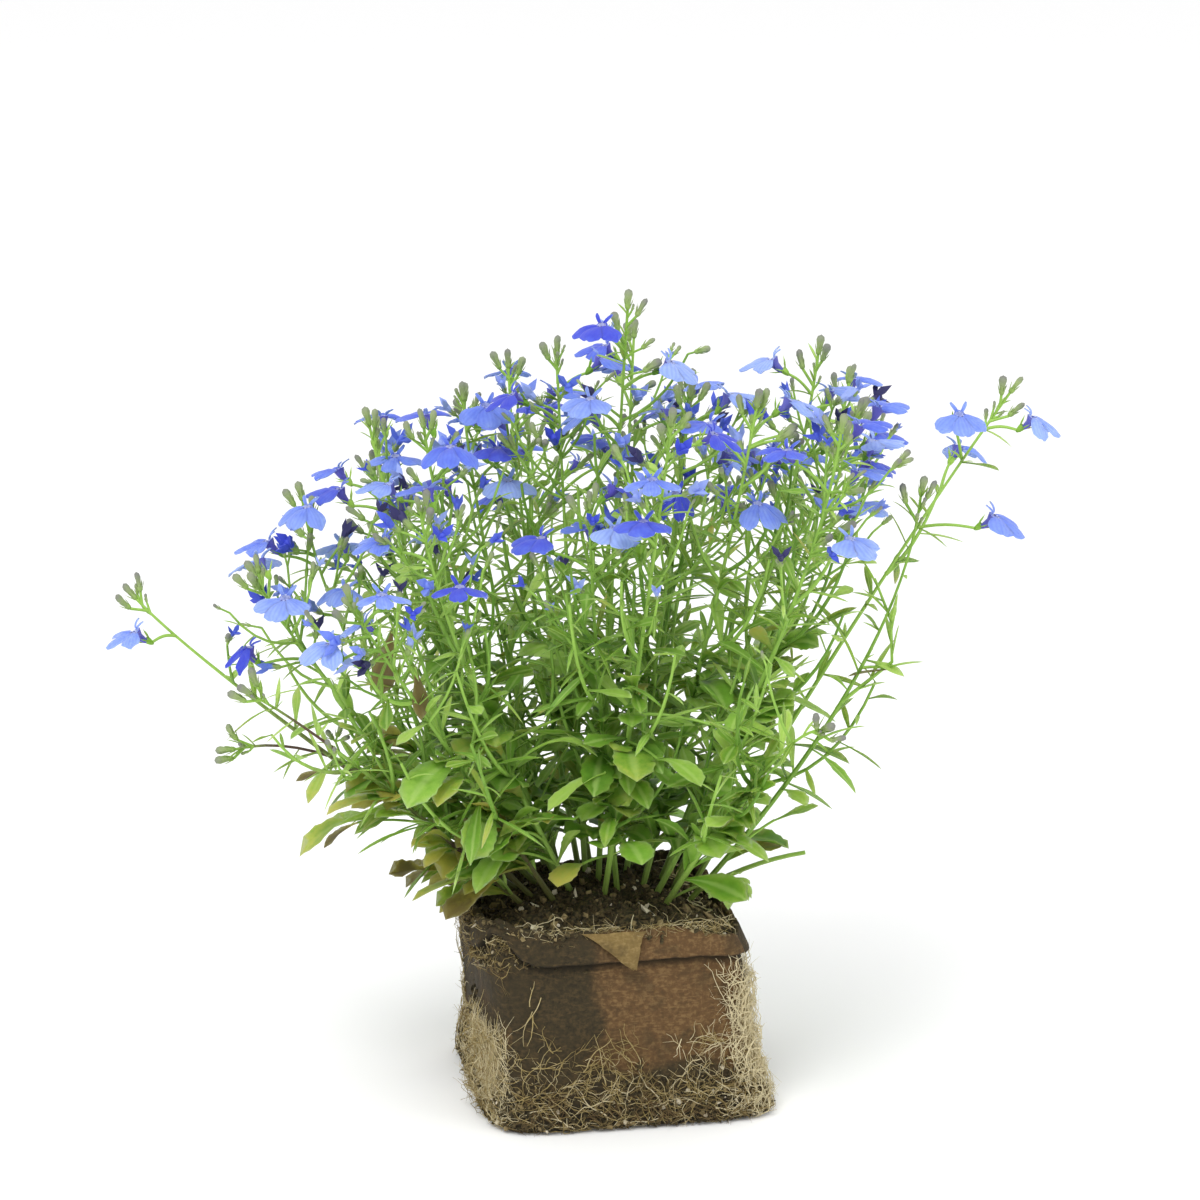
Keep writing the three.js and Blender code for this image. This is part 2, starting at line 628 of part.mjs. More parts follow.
LEAF_SLOTS.forEach((_, slot) => {
  SHOOTS.forEach((_, shoot) => {
    const make = (way) => leafOn(curves[shoot], shoot, slot, way);
    placeClear(nameOf("leafy_stem", shoot), 47 * shoot + 137.5 * slot, [3, shoot, slot], make);
  });
});

const group = new THREE.Group();
group.name = "trailing_lobelia";
for (const node of new Set(placed.map((piece) => piece.node))) {
  const { color, roughness } = LOOKS.find(({ start }) => node.startsWith(start));
  const pieces = placed.filter((piece) => piece.node === node).map((piece) => piece.made);
  const mesh = new THREE.Mesh(
    geometryOf(wasm.Manifold.union(pieces)),
    new THREE.MeshStandardMaterial({ color, roughness, metalness: 0 }),
  );
  mesh.name = node;
  group.add(mesh);
}

export default group;
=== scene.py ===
"""Trailing lobelia in a square fibre pot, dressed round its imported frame.

Design sizes are in millimetres. Meshes are made in metres in the frame's own axes: the origin is the
middle of the pot's flat underside, -Y is its front and +Z is up. The plant has axes of its own, turned
a little about Z: u to the right, v to the back and w up.
"""

import itertools
import json
import logging
import math
import random
from dataclasses import dataclass, field
from enum import Enum
from typing import Any, Callable, Iterable, Iterator, Mapping, Sequence

import bpy
import numpy as np
from mathutils import Matrix, Vector, noise
from mathutils.kdtree import KDTree

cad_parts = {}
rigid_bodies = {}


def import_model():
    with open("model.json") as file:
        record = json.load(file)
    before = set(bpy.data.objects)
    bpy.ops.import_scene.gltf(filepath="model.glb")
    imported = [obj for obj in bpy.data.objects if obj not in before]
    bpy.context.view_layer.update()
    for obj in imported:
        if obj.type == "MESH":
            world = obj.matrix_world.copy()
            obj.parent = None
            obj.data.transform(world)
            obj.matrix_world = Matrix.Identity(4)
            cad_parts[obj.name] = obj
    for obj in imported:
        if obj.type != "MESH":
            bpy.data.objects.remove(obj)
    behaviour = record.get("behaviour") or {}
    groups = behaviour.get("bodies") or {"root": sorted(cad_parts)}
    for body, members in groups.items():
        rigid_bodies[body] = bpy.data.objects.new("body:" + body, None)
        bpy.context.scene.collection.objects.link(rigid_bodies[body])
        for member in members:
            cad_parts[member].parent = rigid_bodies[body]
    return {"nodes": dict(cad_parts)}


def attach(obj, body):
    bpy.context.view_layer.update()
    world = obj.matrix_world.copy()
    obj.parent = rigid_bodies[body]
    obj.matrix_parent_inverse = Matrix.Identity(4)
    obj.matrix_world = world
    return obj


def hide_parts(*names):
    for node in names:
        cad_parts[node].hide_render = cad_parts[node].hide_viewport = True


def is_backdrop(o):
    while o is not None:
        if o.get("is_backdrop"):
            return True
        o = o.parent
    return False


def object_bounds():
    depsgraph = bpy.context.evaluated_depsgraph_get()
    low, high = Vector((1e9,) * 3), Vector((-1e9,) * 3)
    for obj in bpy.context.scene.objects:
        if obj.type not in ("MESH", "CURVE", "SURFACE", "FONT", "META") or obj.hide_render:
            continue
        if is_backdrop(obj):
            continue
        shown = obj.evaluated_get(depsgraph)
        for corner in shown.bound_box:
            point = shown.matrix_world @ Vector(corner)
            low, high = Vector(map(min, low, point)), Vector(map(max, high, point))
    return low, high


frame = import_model()
CAD_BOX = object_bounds()

log = logging.getLogger("lobelia")

MM = 0.001
RIGHT, BEHIND, UP = np.eye(3)
GOLDEN_DEG = 137.5
CRUMB_LONG = (1, 1.2, 1.5, 1, 1.3, 2.6)

Place = np.ndarray
Colour = tuple[float, float, float]


class Slot(Enum):
    """The record's material slots."""

    FIBRE = "fibre"
    PEAT = "peat"
    ROOT = "root"
    FOLIAGE = "foliage"
    FLOWER = "flower"


# ---- Small maths -----------------------------------------------------------------------------------


def vec(*numbers: float) -> Place:
    """A point or direction."""
    return np.array(numbers, float)


def unit(direction: Place) -> Place:
    """A direction at length one."""
    return direction / np.linalg.norm(direction)


def lerp(low: Any, high: Any, share: Any) -> Any:
    """What lies at a share of the way from low to high."""
    return low + (high - low) * share


def smooth(value: float, low: float, high: float) -> float:
    """0 below low and 1 above high, with an even slope between them."""
    share = min(1.0, max(0.0, (value - low) / (high - low)))
    return share * share * (3 - 2 * share)


def spun(direction: Place, axis: Place, angle: float) -> Place:
    """A direction turned about an axis of length one, in radians."""
    along = axis * axis.dot(direction)
    return along + (direction - along) * math.cos(angle) + np.cross(axis, direction) * math.sin(angle)


def rough(place: Place, size: float, seed: float = 0.0) -> float:
    """Smooth noise from about -1 to 1, with lumps of about this size in millimetres."""
    return noise.noise(Vector(place) / size + Vector((seed, 1.7 * seed, 0.3 * seed)))


def tone(red: int, green: int, blue: int) -> Colour:
    """A screen colour out of 255 as linear light."""
    parts = [part / 255 for part in (red, green, blue)]
    return tuple(part / 12.92 if part < 0.04045 else ((part + 0.055) / 1.055) ** 2.4 for part in parts)


HASH_MASK = 0xFFFFFFFF
HASH_START = 2166136261
HASH_STEP = 16777619
HASH_SPREAD = 739982445


def between(low: float, high: float, *keys: int) -> float:
    """The fixed draw that the solids were made with, for a set of whole numbers.

    Args:
        low: The least value.
        high: The value it stays below.
        keys: The whole numbers that choose the draw.

    Returns:
        The draw.
    """
    mixed = HASH_START
    for key in keys:
        mixed = ((mixed ^ (key & HASH_MASK)) * HASH_STEP) & HASH_MASK
    mixed ^= mixed >> 15
    mixed = (mixed * HASH_SPREAD) & HASH_MASK
    mixed ^= mixed >> 12
    return low + (high - low) * mixed / 2**32


def hump(value: float, at: float, width: float) -> float:
    """1 at one value, and evenly less on both sides of it."""
    return math.exp(-(((value - at) / width) ** 2))


def astray(draw: random.Random, far: float) -> Place:
    """A random offset of about this length along each axis."""
    return vec(*(draw.gauss(0, far) for _ in range(3)))


def circle(middle: Place, first: Place, second: Place, sides: int, turn: float = 0.0) -> list[Place]:
    """Places round a middle.

    Args:
        middle: The middle.
        first: The radius that the places start from.
        second: The radius that they turn towards.
        sides: How many there are.
        turn: How far past the first radius they start.

    Returns:
        The places.
    """
    angles = (math.tau * k / sides + turn for k in range(sides))
    return [middle + first * math.cos(angle) + second * math.sin(angle) for angle in angles]


def bent(start: Place, guide: Place, end: Place, t: float) -> Place:
    """The place at t on the curve between two ends that leans towards a guide."""
    return start * (1 - t) ** 2 + guide * 2 * t * (1 - t) + end * t * t


# ---- Node trees ------------------------------------------------------------------------------------


@dataclass(frozen=True)
class Wire:
    """One output socket of a node tree, with arithmetic that adds Math nodes."""

    graph: "Graph"
    socket: bpy.types.NodeSocket

    @property
    def is_vector(self) -> bool:
        """Whether it carries a vector."""
        return self.socket.type == "VECTOR"

    def __add__(self, other: Any) -> "Wire":
        """Sum."""
        return self.graph.maths("ADD", self, other)

    def __sub__(self, other: Any) -> "Wire":
        """Difference."""
        return self.graph.maths("SUBTRACT", self, other)

    def __mul__(self, other: Any) -> "Wire":
        """Product, or a vector scaled by a number."""
        return self.graph.maths("MULTIPLY", self, other)

    def __truediv__(self, other: Any) -> "Wire":
        """Quotient."""
        return self.graph.maths("DIVIDE", self, other)

    def __radd__(self, other: Any) -> "Wire":
        """Sum, reflected."""
        return self.graph.maths("ADD", other, self)

    def __rsub__(self, other: Any) -> "Wire":
        """Difference, reflected."""
        return self.graph.maths("SUBTRACT", other, self)

    def __rmul__(self, other: Any) -> "Wire":
        """Product, reflected."""
        return self.graph.maths("MULTIPLY", self, other)


@dataclass(frozen=True)
class Made:
    """A node with its outputs by name or number."""

    graph: "Graph"
    node: bpy.types.Node

    def __getitem__(self, key: str | int) -> Wire:
        """One output."""
        return Wire(self.graph, Graph.find(self.node.outputs, key))


@dataclass
class Graph:
    """A node tree under construction."""

    tree: bpy.types.NodeTree

    @staticmethod
    def find(sockets: Iterable[bpy.types.NodeSocket], key: str | int) -> bpy.types.NodeSocket:
        """A socket by number, or the one in use with a name.

        Args:
            sockets: The sockets of one side of a node.
            key: The number or the name.

        Returns:
            The socket.
        """
        if isinstance(key, int):
            return sockets[key]
        return next(socket for socket in sockets if socket.name == key and socket.enabled)

    def node(
        self, kind: str, settings: Mapping[str, Any] = {}, sockets: Mapping[str | int, Any] = {}
    ) -> Made:
        """Adds a node.

        Args:
            kind: Blender's name for the type of node.
            settings: Its properties, which are set first. "stops" gives a colour ramp's stops.
            sockets: A value or a wire for each input, by name or number.

        Returns:
            The node.
        """
        made = self.tree.nodes.new(kind)
        for name, value in settings.items():
            if name == "stops":
                self._set_stops(made.color_ramp, value)
            else:
                setattr(made, name, value)
        for key, value in sockets.items():
            socket = self.find(made.inputs, key)
            if isinstance(value, Wire):
                self.tree.links.new(value.socket, socket)
            elif socket.type == "RGBA":
                socket.default_value = (*value, 1.0)
            else:
                socket.default_value = value
        return Made(self, made)

    @staticmethod
    def _set_stops(ramp: bpy.types.ColorRamp, stops: Sequence[tuple[float, Colour]]) -> None:
        """Gives a colour ramp its stops.

        Args:
            ramp: The ramp.
            stops: Where each stop is and its colour.
        """
        while len(ramp.elements) < len(stops):
            ramp.elements.new(1.0)
        for element, (place, colour) in zip(ramp.elements, stops):
            element.position = place
            element.color = (*colour, 1.0)

    def maths(self, operation: str, *operands: Any) -> Wire:
        """A Math node, or a Vector Math node where an operand is a vector.

        Args:
            operation: What the node does.
            operands: Wires, numbers or triples.

        Returns:
            Its output.
        """
        settings, sockets = {"operation": operation}, dict(enumerate(operands))
        vectors = [o for o in operands if isinstance(o, tuple) or getattr(o, "is_vector", False)]
        if not vectors:
            return self.node("ShaderNodeMath", settings, sockets)["Value"]
        if operation == "MULTIPLY" and len(vectors) < len(operands):
            (scale,) = [o for o in operands if o is not vectors[0]]
            settings, sockets = {"operation": "SCALE"}, {0: vectors[0], 3: scale}
        return self.node("ShaderNodeVectorMath", settings, sockets)[0]

    def rise(self, value: Wire, low: float, high: float) -> Wire:
        """0 below low and 1 above high, with a smooth slope between them."""
        sockets = {"Value": value, "From Min": low, "From Max": high}
        return self.node("ShaderNodeMapRange", {"interpolation_type": "SMOOTHSTEP"}, sockets)["Result"]

    def blend(self, share: Any, first: Any, second: Any) -> Wire:
        """Two colours mixed."""
        sockets = {"Factor": share, "A": first, "B": second}
        return self.node("ShaderNodeMix", {"data_type": "RGBA"}, sockets)["Result"]

    def ramp(self, value: Wire, *stops: tuple[float, Colour]) -> Wire:
        """A colour ramp over a value."""
        return self.node("ShaderNodeValToRGB", {"stops": stops}, {"Fac": value})["Color"]

    def attribute(self, name: str) -> Wire:
        """A number that the mesh carries, in a material."""
        return self.node("ShaderNodeAttribute", {"attribute_name": name})["Fac"]

    def cloud(
        self, place: Wire, size: float, detail: float = 3.0, stretch: Sequence[float] = (1, 1, 1)
    ) -> Wire:
        """Noise from 0 to 1.

        Args:
            place: Where it is read.
            size: How large its lumps are, in millimetres.
            detail: How many finer layers it has.
            stretch: How far the lumps are drawn out along each axis.

        Returns:
            The noise.
        """
        scale = tuple(1 / (size * MM * part) for part in stretch)
        mapped = self.node("ShaderNodeMapping", {}, {"Vector": place, "Scale": scale})["Vector"]
        sockets = {"Vector": mapped, "Scale": 1.0, "Detail": detail, "Roughness": 0.6}
        return self.node("ShaderNodeTexNoise", {}, sockets)["Fac"]

    def own_place(self) -> Wire:
        """Object coordinates, in a material."""
        return self.node("ShaderNodeTexCoord")["Object"]

class Growth:
    """A Geometry Nodes tree for one kind of repeated piece, with named inputs."""

    def __init__(self, name: str, inputs: Mapping[str, tuple[str, Any]]) -> None:
        """Starts the tree.

        Args:
            name: The tree's name.
            inputs: Its inputs after the geometry: the socket type and default of each.
        """
        tree = bpy.data.node_groups.new(name, "GeometryNodeTree")
        tree.interface.new_socket("Geometry", in_out="INPUT", socket_type="NodeSocketGeometry")
        self.ids = {}
        for title, (kind, value) in inputs.items():
            socket = tree.interface.new_socket(title, in_out="INPUT", socket_type=f"NodeSocket{kind}")
            if value is not None:
                socket.default_value = value
            self.ids[title] = socket.identifier
        tree.interface.new_socket("Geometry", in_out="OUTPUT", socket_type="NodeSocketGeometry")
        self.tree = tree
        self.graph = Graph(tree)
        self.inputs = self.graph.node("NodeGroupInput")

    def read(self, name: str, kind: str = "FLOAT") -> Wire:
        """A value that the seeds or shapes carry."""
        sockets = {"Name": name}
        return self.graph.node("GeometryNodeInputNamedAttribute", {"data_type": kind}, sockets)["Attribute"]

    def realize(self, geometry: Wire) -> Wire:
        """Instances as real faces."""
        return self.graph.node("GeometryNodeRealizeInstances", {}, {"Geometry": geometry})["Geometry"]

    def turned(self, euler: Wire) -> Wire:
        """Angles about the three axes as a rotation."""
        return self.graph.node("FunctionNodeEulerToRotation", {}, {"Euler": euler})["Rotation"]

    def instances(self, points: Wire, kind: Wire, **more: Wire) -> Wire:
        """One of the tree's shapes at each point.

        Args:
            points: The points.
            kind: Which shape each has.
            more: Its rotation and scale, where they are given.

        Returns:
            The instances.
        """
        shapes = {"Collection": self.inputs["Shapes"], "Separate Children": True, "Reset Children": True}
        choice = self.graph.node("GeometryNodeCollectionInfo", {}, shapes)["Instances"]
        sockets = {"Points": points, "Instance": choice, "Pick Instance": True, "Instance Index": kind}
        return self.graph.node("GeometryNodeInstanceOnPoints", {}, {**sockets, **more})["Instances"]

    def settle(self, geometry: Wire) -> None:
        """Ends the tree in real faces of one finish.

        Args:
            geometry: What the tree has made.
        """
        sockets = {"Geometry": self.realize(geometry), "Material": self.inputs["Finish"]}
        dressed = self.graph.node("GeometryNodeSetMaterial", {}, sockets)["Geometry"]
        self.graph.node("NodeGroupOutput", {}, {"Geometry": dressed})

    def grow(self, seeds: bpy.types.Object, keep: Sequence[str], **values: Any) -> bpy.types.Object:
        """Turns seeds into the plain mesh that the tree makes of them.

        Args:
            seeds: The object that the tree starts from, which becomes the result.
            keep: The values that stay on the mesh for its material.
            values: What each named input is set to, with _ for a space.

        Returns:
            The object, without a modifier.
        """
        modifier = seeds.modifiers.new(self.tree.name, "NODES")
        modifier.node_group = self.tree
        for title, value in values.items():
            modifier[self.ids[title.replace("_", " ")]] = value
        depsgraph = bpy.context.evaluated_depsgraph_get()
        mesh = bpy.data.meshes.new_from_object(
            seeds.evaluated_get(depsgraph), preserve_all_data_layers=True, depsgraph=depsgraph
        )
        seeds.modifiers.clear()
        seeds.data = mesh
        for name in [a.name for a in mesh.attributes if not a.is_required and not a.is_internal]:
            if name not in (*keep, "material_index", "sharp_edge", "sharp_face"):
                mesh.attributes.remove(mesh.attributes[name])
        return seeds


def strand_growth() -> Growth:
    """Round stems along open paths, as thick as the path says at each point.

    Returns:
        The node group, which needs a path for each stem.
    """
    growth = Growth("round_stems", {"Sides": ("Int", 6), "Finish": ("Material", None)})
    graph, inputs = growth.graph, growth.inputs
    curve = graph.node("GeometryNodeMeshToCurve", {}, {"Mesh": inputs["Geometry"]})["Curve"]
    circle = {"Resolution": inputs["Sides"], "Radius": 1.0}
    profile = graph.node("GeometryNodeCurvePrimitiveCircle", {"mode": "RADIUS"}, circle)["Curve"]
    sockets = {"Curve": curve, "Profile Curve": profile, "Scale": growth.read("thick"), "Fill Caps": True}
    growth.settle(graph.node("GeometryNodeCurveToMesh", {}, sockets)["Mesh"])
    return growth


def blade_growth() -> Growth:
    """Leaves: each seed's shape laid along a spine that leaves its stem one way and falls another.

    Returns:
        The node group, which needs a seed for each leaf.
    """
    growth = Growth("blades", {"Shapes": ("Collection", None), "Finish": ("Material", None)})
    graph, read = growth.graph, growth.read
    real = growth.realize(growth.instances(growth.inputs["Geometry"], read("kind", "INT")))
    along, across, relief, reach, spread = map(read, ("along", "across", "relief", "reach", "spread"))
    vectors = ("root", "heading", "fall", "level")
    root, heading, fall, level = (read(name, "FLOAT_VECTOR") for name in vectors)
    roll = read("roll") + read("twist") * along
    spine = root + (heading * along + fall * (along * along)) * reach
    ahead = graph.maths("NORMALIZE", heading + fall * (along * 2.0))
    upright = graph.maths("CROSS_PRODUCT", ahead, level)
    side = level * graph.maths("COSINE", roll) + upright * graph.maths("SINE", roll)
    over = graph.maths("CROSS_PRODUCT", ahead, side)
    place = spine + side * (across * spread) + over * (relief * spread)
    sockets = {"Geometry": real, "Position": place}
    growth.settle(graph.node("GeometryNodeSetPosition", {}, sockets)["Geometry"])
    return growth


def set_growth() -> Growth:
    """Stiff shapes, each set at its seed with a turn and a size.

    Returns:
        The node group, which needs a seed for each shape.
    """
    growth = Growth("set_pieces", {"Shapes": ("Collection", None), "Finish": ("Material", None)})
    setting = {"Rotation": growth.turned(growth.read("turn", "FLOAT_VECTOR")), "Scale": growth.read("size")}
    growth.settle(growth.instances(growth.inputs["Geometry"], growth.read("kind", "INT"), **setting))
    return growth


def litter_growth() -> Growth:
    """Small shapes strewn over a surface, as thick as its own share says, at random sizes.

    Returns:
        The node group, which needs the surface.
    """
    numbers = {"Density": 1000.0, "Smallest": 0.5, "Largest": 1.0, "Tilt": 3.0, "Lift": 0.0}
    growth = Growth(
        "litter",
        {
            "Shapes": ("Collection", None),
            **{name: ("Float", value) for name, value in numbers.items()},
            "Seed": ("Int", 1),
            "Finish": ("Material", None),
        },
    )
    graph, inputs = growth.graph, growth.inputs
    density = inputs["Density"] * growth.read("strewn")
    sockets = {"Mesh": inputs["Geometry"], "Density": density, "Seed": inputs["Seed"]}
    spread = graph.node("GeometryNodeDistributePointsOnFaces", {}, sockets)

    def draw(salt: int, high: float = 1.0) -> Wire:
        """A random number for each point, from 0 to high."""
        sockets = {"Min": 0.0, "Max": high, "Seed": inputs["Seed"] + float(salt)}
        return graph.node("FunctionNodeRandomValue", {}, sockets)["Value"]

    tilt = inputs["Tilt"]
    euler = {"X": draw(11) * tilt, "Y": draw(12) * tilt, "Z": draw(13, math.tau)}
    turn = growth.turned(graph.node("ShaderNodeCombineXYZ", {}, euler)["Vector"])
    sockets = {"Rotation": spread["Rotation"], "Rotate By": turn}
    rotation = graph.node("FunctionNodeRotateRotation", {"rotation_space": "LOCAL"}, sockets)["Rotation"]
    share = draw(14)
    size = inputs["Smallest"] + (inputs["Largest"] - inputs["Smallest"]) * share * share
    sockets = {"Min": 0, "Max": len(CRUMB_LONG) - 1, "Seed": 15}
    pick = graph.node("FunctionNodeRandomValue", {"data_type": "INT"}, sockets)["Value"]
    sockets = {"Geometry": spread["Points"], "Offset": spread["Normal"] * inputs["Lift"]}
    points = graph.node("GeometryNodeSetPosition", {}, sockets)["Geometry"]
    placed = growth.instances(points, pick, Rotation=rotation, Scale=size)
    sockets = {"Geometry": placed, "Name": "tint", "Value": draw(16)}
    settings = {"data_type": "FLOAT", "domain": "INSTANCE"}
    growth.settle(graph.node("GeometryNodeStoreNamedAttribute", settings, sockets)["Geometry"])
    return growth


# ---- Meshes ----------------------------------------------------------------------------------------


def in_scene(name: str, data: bpy.types.ID) -> bpy.types.Object:
    """A new object of the scene.

    Args:
        name: The object's name.
        data: The mesh, light or camera that it shows.

    Returns:
        The object.
    """
    made = bpy.data.objects.new(name, data)
    bpy.context.scene.collection.objects.link(made)
    return made


def mesh_object(
    name: str,
    places: Iterable[Place],
    values: Mapping[str, Sequence[Any]],
    edges: Sequence[tuple[int, int]] = (),
    faces: Sequence[tuple[int, ...]] = (),
) -> bpy.types.Object:
    """A mesh as an object of the scene, in metres.

    Args:
        name: The object's name.
        places: The mesh's corners in millimetres.
        values: Named columns of numbers or vectors, with one for each corner.
        edges: Its loose edges.
        faces: Its faces.

    Returns:
        The object.
    """
    mesh = bpy.data.meshes.new(name)
    mesh.from_pydata([tuple(place * MM) for place in places], edges, faces)
    for key, rows in values.items():
        column = np.array(rows)
        whole, vectors = column.dtype.kind == "i", column.ndim > 1
        kind = "INT" if whole else "FLOAT_VECTOR" if vectors else "FLOAT"
        column = column.astype(np.int32 if whole else np.float32).ravel()
        mesh.attributes.new(key, kind, "POINT").data.foreach_set("vector" if vectors else "value", column)
    return in_scene(name, mesh)


@dataclass
class Skin:
    """Corners in millimetres and faces, with a number or more for each corner."""

    corners: list[Place] = field(default_factory=list)
    faces: list[tuple[int, ...]] = field(default_factory=list)
    values: dict[str, list[float]] = field(default_factory=dict)

    def corner(self, place: Place, **values: float) -> int:
        """Adds a corner and returns its number.

        Args:
            place: Where it is.
            values: Its numbers by name.

        Returns:
            The corner's number.
        """
        for name, value in values.items():
            self.values.setdefault(name, []).append(value)
        self.corners.append(place)
        return len(self.corners) - 1

    def ring(self, places: Iterable[Place], **values: float) -> list[int]:
        """Adds a ring of corners that share their values."""
        return [self.corner(place, **values) for place in places]

    def band(self, low: Sequence[int], high: Sequence[int], closed: bool = True) -> None:
        """Adds the faces between two rows of corners.

        Args:
            low: The first row's corners.
            high: The second row's corners.
            closed: Whether the rows are rings.
        """
        count = len(low) if closed else len(low) - 1
        for j in range(count):
            k = (j + 1) % len(low)
            self.faces.append((low[j], low[k], high[k], high[j]))

    def fan(self, ring: Sequence[int], tip: int, ahead: bool = True) -> None:
        """Closes a ring with triangles to one corner.

        Args:
            ring: The ring's corners.
            tip: The one corner.
            ahead: Whether the ring is seen counterclockwise from outside.
        """
        for j, corner in enumerate(ring):
            k = ring[(j + 1) % len(ring)]
            self.faces.append((corner, k, tip) if ahead else (k, corner, tip))

    def loft(self, rings: Sequence[Sequence[int]], foot: int | None = None, tip: int | None = None) -> None:
        """Joins rings to one another in order.

        Args:
            rings: Rows of as many corners each.
            foot: The corner that closes the first ring, if one does.
            tip: The corner that closes the last ring, if one does.
        """
        for low, high in zip(rings, rings[1:]):
            self.band(low, high)
        if foot is not None:
            self.fan(rings[0], foot, ahead=False)
        if tip is not None:
            self.fan(rings[-1], tip)

    def sheet(self, grid: Sequence[Sequence[Place]], thick: float, values: Callable[..., dict]) -> None:
        """Adds a closed sheet of even thickness.

        Args:
            grid: Rows of places on its upper face.
            thick: Its thickness.
            values: Gives a corner's values from its row, its column and whether it is underneath.
        """
        places = np.array(grid, float)
        rows, columns = places.shape[:2]
        down, right = np.gradient(places, axis=0), np.gradient(places, axis=1)
        normal = np.cross(right, down)
        normal /= np.maximum(np.linalg.norm(normal, axis=2, keepdims=True), 1e-9)
        top, bottom = (
            [[self.corner(lay[i, j], **values(i, j, under)) for j in range(columns)] for i in range(rows)]
            for under, lay in ((False, places), (True, places - normal * thick))
        )
        for i in range(rows - 1):
            self.band(top[i], top[i + 1], closed=False)
            self.band(bottom[i][::-1], bottom[i + 1][::-1], closed=False)
        self.band(bottom[0], top[0], closed=False)
        self.band(top[-1], bottom[-1], closed=False)
        self.band([row[0] for row in top], [row[0] for row in bottom], closed=False)
        self.band([row[-1] for row in bottom], [row[-1] for row in top], closed=False)

    def object(self, name: str) -> bpy.types.Object:
        """The skin as an object of the scene."""
        return mesh_object(name, self.corners, self.values, faces=self.faces)


@dataclass
class Seeds:
    """Points that each carry the same named values."""

    rows: list[dict[str, Any]] = field(default_factory=list)

    def add(self, place: Place, **values: Any) -> None:
        """Adds a point."""
        self.rows.append({"place": place, **values})

    def object(self, name: str) -> bpy.types.Object:
        """The points as an object of the scene."""
        columns = {key: [row[key] for row in self.rows] for key in self.rows[0]}
        return mesh_object(name, columns.pop("place"), columns)


@dataclass
class Strands:
    """Open paths for round stems or roots."""

    places: list[Place] = field(default_factory=list)
    edges: list[tuple[int, int]] = field(default_factory=list)
    values: list[tuple[float, float, float, float]] = field(default_factory=list)

    def add(self, path: Sequence[Place], thick: Sequence[float], tint: float, age: float = 0.0) -> None:
        """Adds a path.

        Args:
            path: Its points in millimetres.
            thick: Its radius at each point.
            tint: Its shade, from 0 to 1.
            age: How far it has browned, from 0 to 1.
        """
        start, last = len(self.places), len(path) - 1
        self.places += list(path)
        self.edges += [(start + i, start + i + 1) for i in range(last)]
        self.values += [(radius * MM, tint, age, i / last) for i, radius in enumerate(thick)]

    def object(self, name: str) -> bpy.types.Object:
        """The paths as an object of the scene."""
        columns = dict(zip(("thick", "tint", "age", "along"), zip(*self.values)))
        return mesh_object(name, self.places, columns, edges=self.edges)


def shapes_box(name: str, skins: Sequence[Skin]) -> bpy.types.Collection:
    """A collection of shapes in order, kept out of the scene.

    Args:
        name: The collection's name.
        skins: The shapes.

    Returns:
        The collection.
    """
    box = bpy.data.collections.new(name)
    for number, skin in enumerate(skins):
        made = skin.object(f"{name}_{number:02d}")
        bpy.context.scene.collection.objects.unlink(made)
        box.objects.link(made)
    return box


def joined(name: str, parts: Sequence[bpy.types.Object]) -> bpy.types.Object:
    """Several objects as one piece, each face with its own finish.

    Args:
        name: The piece's name.
        parts: What it is joined from.

    Returns:
        The piece.
    """
    first = parts[0]
    if len(parts) > 1:
        with bpy.context.temp_override(active_object=first, object=first, selected_editable_objects=parts):
            bpy.ops.object.join()
    first.name = first.data.name = name
    return first


def hand_over(
    piece: bpy.types.Object, slot: Slot, nodes: Sequence[str] = (), crease_deg: float = 50.0
) -> None:
    """Shades a finished piece, puts it on the root body and hides the solids that it stands for.

    Args:
        piece: The piece.
        slot: Its material slot in the record. Not used.
        nodes: The solids that it replaces, if any.
        crease_deg: The least angle between two faces that shows as an edge.
    """
    mesh = piece.data
    mesh.polygons.foreach_set("use_smooth", [True] * len(mesh.polygons))
    mesh.set_sharp_from_angle(angle=math.radians(crease_deg))
    mesh.update()
    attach(piece, "root")
    if nodes:
        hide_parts(*nodes)
    log.info("%s: %d faces, stands for %d solids", piece.name, len(mesh.polygons), len(nodes))


# ---- Finishes --------------------------------------------------------------------------------------


SCATTER_DEPTH = 1.2


@dataclass(frozen=True)
class Finish:
    """A finish. Each kind draws its own pattern."""

    name: str
    bump_depth: float = 0.1
    sheen: float = 0.0
    scatter: float = 0.0
    gloss: float = 0.3
    bleed: Colour = (1.0, 1.0, 0.5)

    def pattern(self, graph: Graph) -> tuple[Wire, Wire, Wire]:
        """The finish's colour, roughness and relief over a surface."""
        raise NotImplementedError

    def material(self) -> bpy.types.Material:
        """The finish as a material.

        Returns:
            The material.
        """
        material = bpy.data.materials.new(self.name)
        material.use_nodes = True
        material.node_tree.nodes.clear()
        graph = Graph(material.node_tree)
        colour, roughness, relief = self.pattern(graph)
        bump = {"Height": relief, "Distance": self.bump_depth * MM, "Strength": 1.0}
        sockets = {
            "Base Color": colour,
            "Roughness": roughness,
            "Normal": graph.node("ShaderNodeBump", {}, bump)["Normal"],
            "Specular IOR Level": self.gloss,
            "Sheen Weight": self.sheen,
            "Sheen Roughness": 0.5,
        }
        if self.scatter:
            sockets["Subsurface Weight"] = self.scatter
            sockets["Subsurface Radius"] = self.bleed
            sockets["Subsurface Scale"] = SCATTER_DEPTH * MM
        shader = graph.node("ShaderNodeBsdfPrincipled", {}, sockets)["BSDF"]
        graph.node("ShaderNodeOutputMaterial", {}, {"Surface": shader})
        return material


